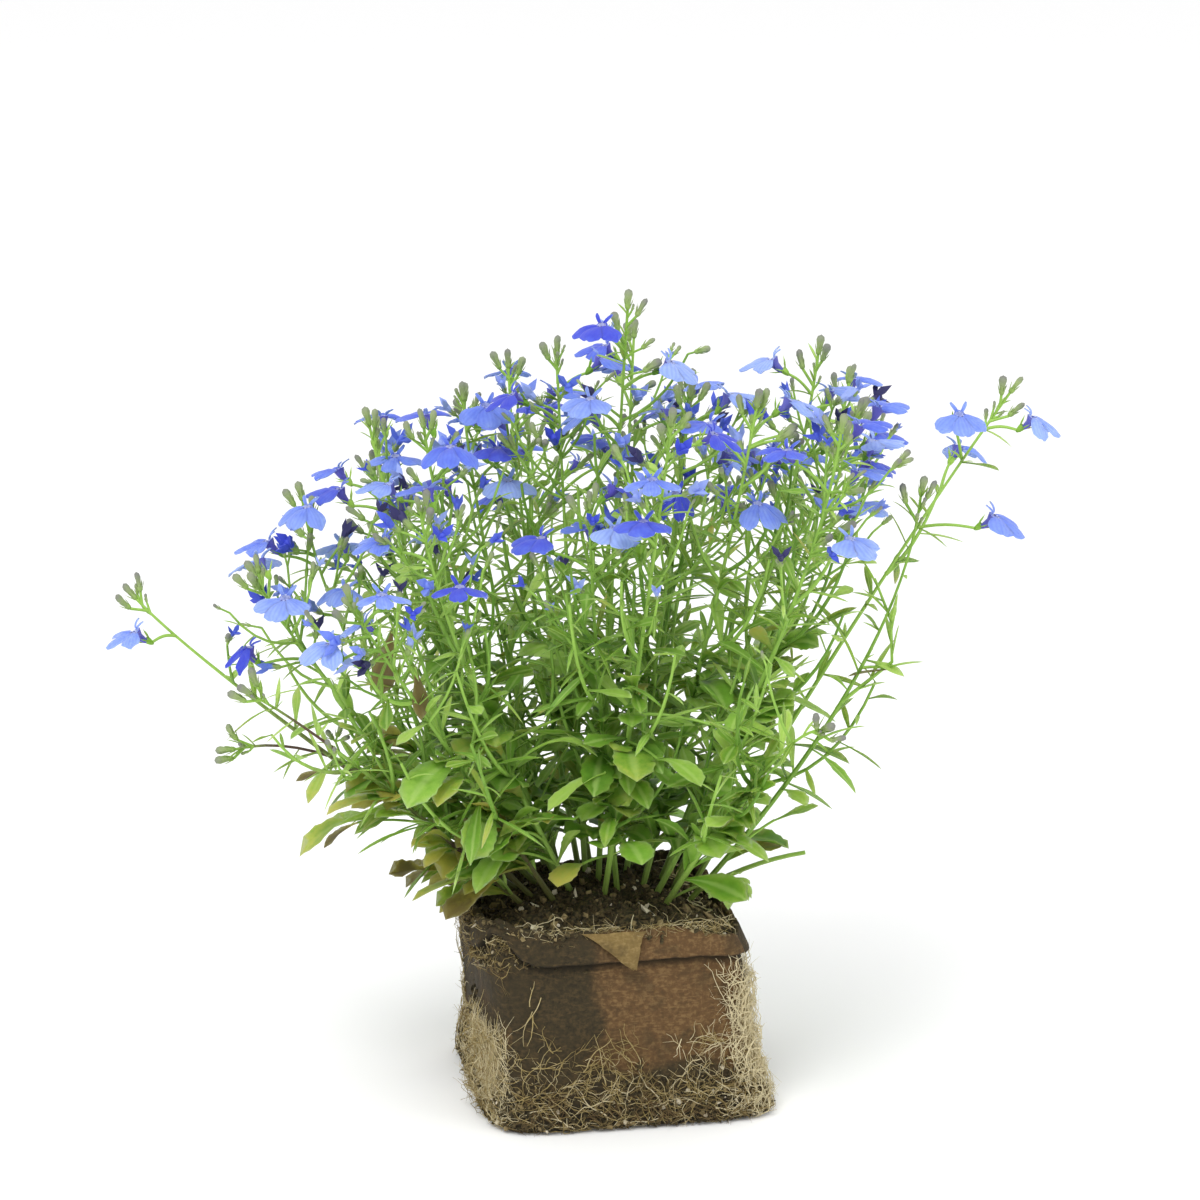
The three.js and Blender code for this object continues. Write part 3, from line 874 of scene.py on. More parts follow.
@dataclass(frozen=True)
class LeafFinish(Finish):
    """Leaf green, shaded by each leaf's own tint, yellowed and browned by its age from the tip."""

    dark: Colour = tone(78, 120, 30)
    middle: Colour = tone(112, 160, 50)
    light: Colour = tone(162, 199, 88)
    yellow: Colour = tone(182, 174, 80)
    brown: Colour = tone(102, 88, 50)
    rib: Colour = tone(184, 208, 124)

    def pattern(self, graph: Graph) -> tuple[Wire, Wire, Wire]:
        """Green with a pale rib, mottling and browned edges.

        Args:
            graph: The material's tree.

        Returns:
            The colour, the roughness and the relief.
        """
        place = graph.own_place()
        tint, age, along, aside = map(graph.attribute, ("tint", "age", "along", "aside"))
        mottle = graph.cloud(place, 2.2)
        shade = tint + (mottle - 0.5) * 0.5 + (along - 0.5) * 0.12
        green = graph.ramp(shade, (0.0, self.dark), (0.5, self.middle), (1.0, self.light))
        width = graph.maths("ABSOLUTE", aside)
        rib = (1.0 - graph.rise(width, 0.05, 0.32)) * 0.35
        green = graph.blend(rib, green, self.rib)
        old = age + along * age * 0.7 + (mottle - 0.5) * 0.3
        yellowed = graph.blend(graph.rise(old, 0.35, 0.75), green, self.yellow)
        colour = graph.blend(graph.rise(old, 0.75, 1.1), yellowed, self.brown)
        veins = graph.maths("SINE", (along * 26.0) + width * 2.0)
        relief = veins * 0.12 + graph.cloud(place, 0.5) * 0.6 - rib
        return colour, 0.42 + mottle * 0.25, relief


@dataclass(frozen=True)
class StemFinish(Finish):
    """Stem green, flushed brown towards the foot of an old stem, with painted shade low down where the
    foliage shades it.
    """

    fresh: Colour = tone(150, 190, 84)
    deep: Colour = tone(96, 140, 44)
    flush: Colour = tone(88, 68, 56)
    # shade is the colour of the painted shade that darkens the stems near the peat.
    shade: Colour = tone(92, 100, 44)
    foot: float = 60.0

    def pattern(self, graph: Graph) -> tuple[Wire, Wire, Wire]:
        """Green with fine streaks along the stem, with painted shade that darkens its foot.

        Args:
            graph: The material's tree.

        Returns:
            The colour, the roughness and the relief.
        """
        place = graph.own_place()
        tint, age, along = map(graph.attribute, ("tint", "age", "along"))
        streak = graph.cloud(place, 1.1, 2.0, (1, 1, 6))
        green = graph.blend(graph.rise(tint + (streak - 0.5) * 0.6, 0.1, 0.9), self.deep, self.fresh)
        flushed = age * 1.3 - along * age * 0.9 + (streak - 0.5) * 0.4
        colour = graph.blend(graph.rise(flushed, 0.3, 0.9), green, self.flush)
        # Painted shade: below about the foot height the stem darkens towards the shade colour, as if the
        # foliage above shades it.
        height = graph.node("ShaderNodeSeparateXYZ", {}, {"Vector": place})["Z"]
        low = 1.0 - graph.rise(height, (self.foot - 6) * MM, (self.foot + 16) * MM)
        return graph.blend(low * 0.8, colour, self.shade), 0.45 + streak * 0.2, streak


@dataclass(frozen=True)
class PetalFinish(Finish):
    """Petal blue, deep to pale by each bloom's tint, with a white eye, dark marks, fine veins and pale
    undersides that are partly painted light shining through.
    """

    deep: Colour = tone(58, 68, 190)
    middle: Colour = tone(96, 120, 214)
    light: Colour = tone(146, 168, 232)
    eye: Colour = tone(240, 242, 255)
    mark: Colour = tone(34, 34, 130)
    # back is partly the petal's own paler back and partly painted light shining through the petal.
    back: Colour = tone(152, 168, 232)
    tube: Colour = tone(88, 78, 172)

    def pattern(self, graph: Graph) -> tuple[Wire, Wire, Wire]:
        """Blue over a lobe, from its eye outward.

        Args:
            graph: The material's tree.

        Returns:
            The colour, the roughness and the relief.
        """
        place = graph.own_place()
        names = ("tint", "along", "aside", "under", "part")
        tint, along, aside, under, part = map(graph.attribute, names)
        mottle = graph.cloud(place, 3.0)
        shade = tint + (mottle - 0.5) * 0.55 + (along - 0.6) * 0.3
        blue = graph.ramp(shade, (0.0, self.deep), (0.5, self.middle), (1.0, self.light))
        veins = graph.maths("SINE", aside * 17.0 + (mottle - 0.5) * 4.0) * 0.5 + 0.5
        blue = graph.blend(veins * 0.18, blue, self.deep)
        near = 0.75 - graph.rise(along + (mottle - 0.5) * 0.1, 0.06, 0.17) * 0.75
        lower = 1.0 - graph.rise(part, 0.2, 0.3)
        eyed = graph.blend(near * lower, blue, self.eye)
        width = graph.maths("ABSOLUTE", aside)
        spot = graph.rise(width, 0.25, 0.4) * (1.0 - graph.rise(along, 0.1, 0.18)) * lower
        marked = graph.blend(spot, eyed, self.mark)
        # Undersides blend towards back: partly their own paler colour, partly painted light shining through
        # the petal.
        backed = graph.blend(under * 0.6, marked, self.back)
        tubed = graph.rise(part, 0.3, 0.4) * (1.0 - graph.rise(part, 0.6, 0.7))
        colour = graph.blend(tubed * 0.8, backed, self.tube)
        return colour, 0.5 + mottle * 0.2, veins * 0.5 + graph.cloud(place, 0.4) * 0.4


@dataclass(frozen=True)
class BudFinish(Finish):
    """Bud grey-green that turns violet blue at its tip."""

    foot: Colour = tone(142, 172, 88)
    body: Colour = tone(146, 163, 110)
    tip: Colour = tone(122, 124, 116)
    deep: Colour = tone(66, 80, 200)
    opening: Colour = tone(96, 120, 216)
    pale: Colour = tone(150, 168, 230)
    spent: Colour = tone(52, 50, 96)

    def pattern(self, graph: Graph) -> tuple[Wire, Wire, Wire]:
        """Green to violet along the bud, and blue on what an opening one shows of its petals.

        Args:
            graph: The material's tree.

        Returns:
            The colour, the roughness and the relief.
        """
        place = graph.own_place()
        mottle = graph.cloud(place, 0.9)
        along, tint, age = map(graph.attribute, ("along", "tint", "age"))
        share = along + (mottle - 0.5) * 0.3 + (tint - 0.5) * 0.35
        closed = graph.ramp(share, (0.1, self.foot), (0.55, self.body), (1.0, self.tip))
        share = tint + (mottle - 0.5) * 0.3
        blue = graph.ramp(share, (0.1, self.deep), (0.5, self.opening), (0.9, self.pale))
        petals = graph.blend(graph.rise(age, 1.2, 1.4), blue, self.spent)
        shown = graph.rise(age, 0.4, 0.6) * graph.rise(along, 0.42, 0.56)
        return graph.blend(shown, closed, petals), 0.5 + mottle * 0.2, mottle


@dataclass(frozen=True)
class FibreFinish(Finish):
    """Pressed wood fibre: warm brown where dry, olive black where damp, cream under grown roots, and dark
    with painted shade where shade falls.
    """

    dry: Colour = tone(91, 67, 40)
    damp: Colour = tone(52, 44, 27)
    pale: Colour = tone(128, 102, 66)
    # dark is the colour of the dark grain pits and also of the painted shade.
    dark: Colour = tone(30, 25, 14)
    felt: Colour = tone(160, 146, 108)

    def pattern(self, graph: Graph) -> tuple[Wire, Wire, Wire]:
        """Mottled fibre with felt of roots, darkened with painted shade under the band's fold, inside the
        wall and among the roots at its foot.

        Args:
            graph: The material's tree.

        Returns:
            The colour, the roughness and the relief.
        """
        place = graph.own_place()
        patches = graph.cloud(place, 9.0, 4.0)
        grain = graph.cloud(place, 1.3, 5.0)
        hairs = graph.cloud(place, 0.7, 3.0, (4, 4, 1))
        damp, felt, crease = map(graph.attribute, ("damp", "felt", "crease"))
        wet = graph.rise(damp + (patches - 0.5) * 0.5, 0.25, 0.75)
        base = graph.blend(wet, self.dry, self.damp)
        lifted = 1.0 - wet * 0.75
        base = graph.blend(graph.rise(grain, 0.48, 0.66) * lifted * 0.5, base, self.pale)
        base = graph.blend(graph.rise(hairs, 0.52, 0.66) * lifted * 0.45, base, self.pale)
        base = graph.blend((1.0 - graph.rise(grain, 0.3, 0.5)) * (0.28 + wet * 0.4), base, self.dark)
        base = graph.blend((1.0 - graph.rise(patches, 0.32, 0.52)) * 0.5, base, self.damp)
        grown = graph.rise(felt + (grain - 0.5) * 0.9, 0.45, 0.8)
        felted = graph.blend(graph.rise(hairs, 0.2, 0.5), self.pale, self.felt)
        colour = graph.blend(grown * 0.92, base, felted)
        # Painted shade: the fibre darkens towards the dark colour under the band's fold, inside the pot,
        # under the flap and at the wall's foot.
        shadowed = graph.blend(crease * 0.88, colour, self.dark)
        return shadowed, 0.85 + grain * 0.12, grain * 0.8 + hairs * 0.5 + patches * 0.6


@dataclass(frozen=True)
class PeatFinish(Finish):
    """Black peat with brown and straw-coloured bits."""

    black: Colour = tone(40, 37, 23)
    brown: Colour = tone(90, 77, 50)
    straw: Colour = tone(134, 118, 82)
    grit: Colour = tone(206, 196, 172)

    def pattern(self, graph: Graph) -> tuple[Wire, Wire, Wire]:
        """Dark crumbs, some of them pale.

        Args:
            graph: The material's tree.

        Returns:
            The colour, the roughness and the relief.
        """
        place, tint = graph.own_place(), graph.attribute("tint")
        grain, bits = graph.cloud(place, 1.2, 5.0), graph.cloud(place, 0.8, 2.0)
        base = graph.blend(graph.rise(grain, 0.35, 0.7), self.black, self.brown)
        pale = graph.blend(graph.rise(tint + (bits - 0.5) * 0.2, 0.83, 0.93), base, self.straw)
        specked = graph.blend(graph.rise(bits, 0.72, 0.78) * 0.7, pale, self.straw)
        return graph.blend(graph.rise(tint, 0.97, 0.98), specked, self.grit), 0.9 + grain * 0.08, grain


@dataclass(frozen=True)
class RootFinish(Finish):
    """Cream roots, some of them straw or brown."""

    cream: Colour = tone(206, 194, 158)
    straw: Colour = tone(152, 134, 84)
    brown: Colour = tone(92, 74, 46)

    def pattern(self, graph: Graph) -> tuple[Wire, Wire, Wire]:
        """Cream with stained lengths.

        Args:
            graph: The material's tree.

        Returns:
            The colour, the roughness and the relief.
        """
        place = graph.own_place()
        stain = graph.cloud(place, 2.4)
        share = graph.attribute("tint") + (stain - 0.5) * 0.7
        colour = graph.ramp(share, (0.15, self.cream), (0.55, self.straw), (1.0, self.brown))
        return colour, 0.7 + stain * 0.2, graph.cloud(place, 0.5)


# ---- Pot -------------------------------------------------------------------------------------------


@dataclass(frozen=True)
class PotForm:
    """The pot's sizes and the ways to find a place on its wall.

    A place on the wall is given by its height and by how far round it is, as a share of the way from
    the middle of the right side, anticlockwise seen from above. The mat is the thick root mat at the
    front left edge, and the band is how deep the folded rim hangs at some angles.
    """

    foot: float = 79.0
    waist: float = 72.5
    waist_up: float = 17.0
    mouth: float = 70.5
    height: float = 54.0
    lean: float = -5.0
    corner: float = 7.0
    perimeter: float = 292.0
    mat_share: float = 0.562
    mat_half: float = 11.0
    mat_out: float = 3.0
    band_at_deg: tuple[float, ...] = (0, 200, 219, 230, 237, 245, 256, 264, 280, 316, 360)
    band: tuple[float, ...] = (7.0, 7.0, 2.2, 2.6, 4.6, 7.0, 8.8, 8.4, 5.6, 4.2, 7.0)

    def half(self, height: float) -> float:
        """Half the outside width at a height.

        Args:
            height: The height in millimetres.

        Returns:
            Half the width.
        """
        if height < self.waist_up:
            return lerp(self.foot, self.waist, height / self.waist_up) / 2
        return lerp(self.waist, self.mouth, (height - self.waist_up) / (self.height - self.waist_up)) / 2

    def middle(self, height: float) -> Place:
        """The pot's middle at a height."""
        return vec(self.lean * height / self.height, 0, height)

    def rim(self, angle: float) -> float:
        """The uneven rim's height."""
        lean = 2 * math.cos(angle - math.radians(215)) + 2.6 * math.cos(2 * (angle - math.radians(225)))
        return self.height + 0.5 + lean

    def fold(self, angle: float) -> float:
        """The height of the folded band's lower edge."""
        return self.rim(angle) - float(np.interp(math.degrees(angle), self.band_at_deg, self.band))

    def round_at(self, share: float) -> tuple[Place, Place, float]:
        """A place on the outline of half width one.

        Args:
            share: How far round it is.

        Returns:
            The place, the way out of the wall and the angle about the axis.
        """
        x, y, angle = (np.interp(share % 1.0, OUTLINE["share"], OUTLINE[key]) for key in ("x", "y", "angle"))
        out = unit(vec(*(np.sign(part) * abs(part) ** (self.corner - 1) for part in (x, y)), 0))
        return vec(x, y, 0), out, float(angle)

    def on_wall(self, share: float, height: float, out: float = 0.0) -> Place:
        """A place so far outside the wall."""
        place, way, _ = self.round_at(share)
        return place * self.half(height) + way * out + self.middle(height)

    def felt(self, share: float, height: float) -> float:
        """How thickly roots cover the wall, from 0 to 1.

        Args:
            share: How far round the place is.
            height: Its height.

        Returns:
            The cover.
        """
        share %= 1.0
        low = 1 - smooth(height, 22, 36)
        left = 1.1 * hump(share, 0.578, 0.045) * low
        right = 0.85 * hump(share, 0.885, 0.024) * (1 - smooth(height, 34, 46))
        behind = 0.8 * (hump(share, 0.125, 0.03) + hump(share, 0.375, 0.03)) * low
        wave = 2.5 * math.sin(19 * share) + 2 * math.sin(47 * share + 1)
        return min(1.0, left + right + behind + 0.12 * (1 - smooth(height, 6 + wave, 14 + wave)))

    def soil(self, share: float, height: float) -> float:
        """How much soil clings to the wall, from 0 to 1.

        Args:
            share: How far round the place is.
            height: Its height.

        Returns:
            The cover.
        """
        share %= 1.0
        wave = 3 * math.sin(23 * share + 2) + 3 * math.sin(61 * share)
        low = 0.9 * (1 - smooth(height, 8 + wave, 15 + wave))
        edge = hump(share, 0.53, 0.022) * smooth(height, 12, 17) * (1 - smooth(height, 28, 34))
        corner = hump(share, 0.57, 0.075) * smooth(height, 42, 50)
        broken = smooth(rough(vec(90 * share, 0, 0), 3, 29), -0.3, 0.4)
        rim = 0.45 * smooth(height, self.height - 3, self.height - 1) * broken
        return min(1.0, low + edge + corner + rim)

    def relief(self, place: Place, felt: float) -> float:
        """How far the wall stands out of its plain form.

        Args:
            place: A place on the plain wall.
            felt: How thickly roots cover it.

        Returns:
            The distance.
        """
        slump = 0.55 * rough(place, 22, 3) + 0.35 * rough(place, 8, 5)
        stand = 0.1 * rough(place, 1.8, 7) + felt * (0.45 + 0.7 * rough(place, 3.2, 9))
        height = float(place[2])
        on_mat = hump(np.linalg.norm((place - self.on_wall(self.mat_share, height))[:2]), 0, self.mat_half)
        mat = self.mat_out * on_mat * smooth(height, 3, 10) * (1 - smooth(height, 26, 37))
        frayed = 1.7 * on_mat * smooth(height, 41, 46) * (0.7 + 0.6 * rough(place, 2.2, 37))
        return slump + stand + mat + frayed


def outline_table(corner: float, steps: int = 2880) -> dict[str, np.ndarray]:
    """The rounded square of half width one, by its share of the way round.

    Args:
        corner: The power of its curve, which is 2 for a circle and more for sharper corners.
        steps: How many places the table has.

    Returns:
        The share, the place and the angle of each.
    """
    angle = np.linspace(0, math.tau, steps + 1)
    x, y = (np.sign(part) * np.abs(part) ** (2 / corner) for part in (np.cos(angle), np.sin(angle)))
    run = np.concatenate([[0], np.cumsum(np.hypot(np.diff(x), np.diff(y)))])
    return {"share": run / run[-1], "x": x, "y": y, "angle": angle}


POT = PotForm()
OUTLINE = outline_table(POT.corner)


@dataclass
class Crumbs:
    """The crumbs of peat that are strewn over the bed and the pot."""

    litter: Growth
    material: bpy.types.Material

    def __post_init__(self) -> None:
        """Makes the box of shapes."""
        self.shapes = shapes_box("crumb", [self.crumb(n, long) for n, long in enumerate(CRUMB_LONG)])

    @staticmethod
    def crumb(seed: int, long: float) -> Skin:
        """A crumb of about a millimetre, from an icosahedron's corners.

        Args:
            seed: Chooses its dents.
            long: How far it is drawn out.

        Returns:
            The crumb.
        """
        golden = (1 + 5**0.5) / 2
        skin, even, draw = Skin(), [], random.Random(seed)
        drawn = vec(long, 1 / long**0.5, 1 / long**0.5)
        for a, b, c in ((0, 1, golden), (1, golden, 0), (golden, 0, 1)):
            for first, second in itertools.product((1, -1), repeat=2):
                corner = vec(a * first, b * (second if a else first), c * second)
                even.append(unit(corner))
                skin.corner(corner * (0.5 * (0.7 + 0.6 * draw.random()) / 1.9) * drawn)
        # The faces are the triples of corners that are each others' neighbours on the even solid.
        near = np.array(even) @ np.array(even).T > 0.4
        for triple in itertools.combinations(range(12), 3):
            if all(near[i, j] for i, j in itertools.combinations(triple, 2)):
                a, b, c = (skin.corners[number] for number in triple)
                i, j, k = triple
                skin.faces.append((i, j, k) if np.cross(b - a, c - a).dot(a) > 0 else (i, k, j))
        return skin

    def strew(self, ground: Skin, name: str, **numbers: float) -> None:
        """Strews crumbs and hands them over.

        Args:
            ground: The surface that they lie on.
            name: The piece's name.
            numbers: The litter tree's inputs.
        """
        looks = {"Shapes": self.shapes, "Finish": self.material}
        made = self.litter.grow(ground.object(name), ("tint",), **looks, **numbers)
        hand_over(made, Slot.PEAT, crease_deg=30)


@dataclass
class FibrePot:
    """The pot: one thick wall with a folded rim band, felted over with roots, and its torn flap."""

    columns: int = 300
    rows: int = 34
    inside_rows: int = 8
    soiled_columns: int = 240
    flap_share: float = 0.7545
    flap_wide: float = 8.5
    flap_drop: float = 10.5
    finish: FibreFinish = FibreFinish("pressed_fibre", bump_depth=0.35)
    torn_finish: FibreFinish = FibreFinish(
        "torn_fibre", bump_depth=0.3, dry=tone(116, 96, 56), pale=tone(146, 124, 80), dark=tone(70, 54, 30)
    )

    def profile(self, angle: float) -> Iterator[tuple[float, float, float]]:
        """The wall's section, from the underside up, over the rim and down inside.

        Args:
            angle: Where it is cut, about the pot's axis.

        Yields:
            The height, how far out and how much painted shade each row carries.
        """
        fold, rim = POT.fold(angle), POT.rim(angle)
        yield from ((0.0, -3.0, 0.0), (0.3, -1.9, 0.0), (1.0, -0.9, 0.0), (2.0, -0.3, 0.0))
        for row in range(self.rows):
            yield lerp(3.0, fold - 3.8, row / (self.rows - 1)), 0.0, 0.0
        # Painted shadow: the rows up to the band's fold carry the dark gap that the overhanging band would
        # cast.
        for up, out, crease in ((-3.0, 0.0, 0.4), (-1.9, -0.1, 0.9), (-1.0, -0.3, 1.0), (-0.2, -0.5, 1.0)):
            yield fold + up, out, crease
        for up, out, crease in ((-0.6, 0.5, 1.0), (-0.9, 1.9, 0.7), (-0.3, 2.5, 0.0)):
            yield fold + up, out, crease
        for row in range(7):
            yield lerp(fold + 0.7, rim - 1.0, row / 6), lerp(2.4, 1.2, row / 6), 0.0
        for up, out in ((-0.3, 1.0), (0.1, 0.4), (0.1, -0.5), (-0.3, -1.1)):
            yield rim + up, out, 0.0
        # Painted shade on the inside of the wall, down to the pot's floor.
        yield from ((rim - 1.2, -1.4, 0.1), (rim - 4.0, -1.45, 0.2))
        yield from ((30.0, -1.45, 0.3), (12.0, -1.5, 0.3), (4.4, -2.9, 0.3))

    def damp(self, place: Place, share: float) -> float:
        """How damp the fibre is: the front is damp on the left and dry on the right.

        Args:
            place: A place on the wall.
            share: How far round it is.

        Returns:
            The damp, from about 0 to 1.
        """
        if 0.63 < share < 0.88:
            low = 0.8 * (1 - smooth(place[2] + 5 * rough(place, 12, 27), 10, 20))
            dry = 0.72 * smooth(place[0] + 7 * rough(place, 14, 21), -19, -3)
            return 1 - dry - 0.28 * smooth(place[0], -2, 30) + low
        if 0.5 < share <= 0.63:
            return 0.78 + 0.5 * rough(place, 9, 23)
        return 0.62 + 0.5 * rough(place, 26, 23)

    def wall(self) -> Skin:
        """The wall as one closed skin.

        Returns:
            The wall's skin.
        """
        skin = Skin()
        shares = [column / self.columns for column in range(self.columns)]
        angles = [POT.round_at(share)[2] for share in shares]
        sections = [list(self.profile(angle)) for angle in angles]
        rings = []
        for row in range(len(sections[0])):
            outside = row < len(sections[0]) - self.inside_rows
            ring = []
            for share, angle, section in zip(shares, angles, sections):
                height, out, crease = section[row]
                bare, rim = POT.on_wall(share, height, out), POT.rim(angle)
                felt = stand = painted_foot_shade = 0.0
                if outside:
                    felt = POT.felt(share, height)
                    stand = POT.relief(bare, felt) * smooth(height, 0.0, 3.0)
                    # Painted shade among the roots and soil at the wall's foot, darker towards the bottom.
                    painted_foot_shade = 0.85 * (1 - smooth(height + 5 * rough(bare, 6, 45), 6, 15))
                at_rim = smooth(height, POT.height - 9, POT.height)
                torn = at_rim * (1.0 * rough(bare, 5, 31) + 0.8 * rough(bare, 1.6, 33))
                wave = at_rim * 1.1 * rough(bare, 9, 35)
                frayed = (0.42 + 0.4 * rough(bare, 2.5, 39)) * smooth(height, rim - 1.8, rim)
                place = POT.on_wall(share, height + torn, out + stand + wave)
                looks = {"felt": felt + frayed, "damp": self.damp(bare, share), "crease": max(crease, painted_foot_shade)}
                ring.append(skin.corner(place, **looks))
            rings.append(ring)
        # The underside's middle and the pot's inner floor carry painted shade as well.
        foot = skin.corner(vec(0, 0, 0), felt=0.2, damp=0.8, crease=0.2)
        skin.loft(rings, foot, skin.corner(vec(0, 0, 4.4), felt=0.0, damp=0.8, crease=0.3))
        return skin

    def flap(self) -> Skin:
        """The torn flap that hangs over the band at the front.

        Returns:
            The flap's skin.
        """
        skin, grid = Skin(), []
        for down in np.linspace(0, 1, 12):
            row = []
            for aside in np.linspace(-1, 1, 9):
                ragged = 1 + 0.12 * rough(vec(aside, down * 9, 0), 1.5, 41)
                width = lerp(self.flap_wide, 0.5, down**0.8) * ragged
                share = self.flap_share + (aside * width * 1.15 + 5.0 * down - 3.0) / POT.perimeter
                torn = 0.5 * rough(vec(aside * 6, down * 9, 3), 3, 43)
                height = POT.rim(POT.round_at(share)[2]) + 0.2 - self.flap_drop * down + torn
                out = 1.9 + 1.6 * math.sin(math.pi * down) * (1 - 0.5 * aside * aside) + 0.9 * down
                row.append(POT.on_wall(share, height, out))
            grid.append(row)
        # Painted shade on the flap's underside.
        skin.sheet(grid[::-1], 0.5, lambda i, j, under: {"felt": 0.05, "damp": 0.1, "crease": 0.25 * under})
        return skin

    def soiled(self) -> Skin:
        """The wall's outer face, with how much soil clings to it.

        Returns:
            The face's skin.
        """
        skin, rings = Skin(), []
        for up in np.linspace(0.02, 1.0, 44):
            ring = []
            for share in (column / self.soiled_columns for column in range(self.soiled_columns)):
                angle = POT.round_at(share)[2]
                height = up * POT.rim(angle)
                bare = POT.on_wall(share, height)
                stand = POT.relief(bare, POT.felt(share, height)) + (1.2 if height > POT.fold(angle) else 0.0)
                ring.append(skin.corner(POT.on_wall(share, height, stand), strewn=POT.soil(share, height)))
            rings.append(ring)
        skin.loft(rings)
        return skin

    def build(self, crumbs: Crumbs) -> None:
        """Makes the pot with the soil that clings to it and hands them over.

        Args:
            crumbs: The crumbs that cling to it.
        """
        wall, flap = self.wall().object("wall"), self.flap().object("flap")
        wall.data.materials.append(self.finish.material())
        flap.data.materials.append(self.torn_finish.material())
        hand_over(joined("fibre_pot_wall", [wall, flap]), Slot.FIBRE, ["fibre_pot"])
        crumbs.strew(self.soiled(), "pot_crumbs", Density=1.5 / MM**2, Smallest=0.35, Largest=1.8, Seed=9)


@dataclass
class PeatBed:
    """The peat with its mound, crumbs and bits of straw."""

    below_rim: float = 4.5
    mound: float = 8.5
    inset: float = 1.9
    columns: int = 150
    lays: int = 44
    finish: PeatFinish = PeatFinish("damp_peat", bump_depth=0.6)

    def height(self, x: float, y: float) -> float:
        """The peat's height in its solid.

        Args:
            x: The place to the right.
            y: The place to the back.

        Returns:
            The height in millimetres.
        """
        share = max(abs(x - POT.lean), abs(y)) / (POT.mouth / 2)
        lumps = math.sin(0.31 * x + 1) * math.cos(0.27 * y) + 0.5 * math.sin(0.23 * (x + y))
        return POT.height - self.below_rim + self.mound * (1 - min(1.0, share) ** 2) + lumps

    def bed(self, top_only: bool) -> Skin:
        """The bed, or only its upper surface for what is strewn on it.

        Args:
            top_only: Whether it is only the upper surface.

        Returns:
            The bed's skin.
        """
        skin, rings = Skin(), []
        shares = [column / self.columns for column in range(self.columns)]
        if not top_only:
            below = {"tint": 0.3, "strewn": 0.0}
            for height, inset in ((4.9, 3.5), (20.0, 2.0), (38.0, 1.9)):
                rings.append(skin.ring([POT.on_wall(share, height, -inset) for share in shares], **below))
            skin.fan(rings[0], skin.corner(vec(0, 0, 4.9), **below), ahead=False)
        top = {"tint": 0.3, "strewn": 1.0}
        for lay in range(self.lays):
            inward = (1 - lay / self.lays) ** 0.9
            places = []
            for share in shares:
                bare = POT.on_wall(share, POT.height - self.below_rim, -self.inset)
                flat = vec(lerp(POT.lean, bare[0], inward), bare[1] * inward, 0)
                lumps = 0.9 * rough(flat, 4.5, 51) + 0.55 * rough(flat, 1.7, 53)
                places.append(flat + UP * (self.height(*flat[:2]) + lumps * smooth(1 - inward, 0, 0.03)))
            rings.append(skin.ring(places, **top))
        skin.loft(rings, tip=skin.corner(vec(POT.lean, 0, self.height(POT.lean, 0)), **top))
        return skin

    def build(self, crumbs: Crumbs) -> None:
        """Makes the bed and its crumbs and hands them over.

        Args:
            crumbs: The crumbs that are strewn on it.
        """
        bed = self.bed(top_only=False).object("peat_bed")
        bed.data.materials.append(crumbs.material)
        hand_over(bed, Slot.PEAT, ["peat_block"])
        sizes = {"Density": 0.42 / MM**2, "Smallest": 0.7, "Largest": 2.9}
        crumbs.strew(self.bed(top_only=True), "peat_crumbs", **sizes, Lift=0.1 * MM, Seed=4)


# ---- Roots -----------------------------------------------------------------------------------------


@dataclass(frozen=True)
class RootPatch:
    """Where a lot of roots start on the pot, and how they run."""

    count: int
    share: tuple[float, float]
    height: tuple[float, float]
    heading_deg: tuple[float, float]
    long: tuple[float, float]
    thick: tuple[float, float] = (0.09, 0.24)
    wander_deg: float = 13.0
    out: tuple[float, float] = (0.1, 1.3)
    tint: tuple[float, float] = (0.0, 0.7)
    floor: float = 0.4
    ceiling: float = 57.0


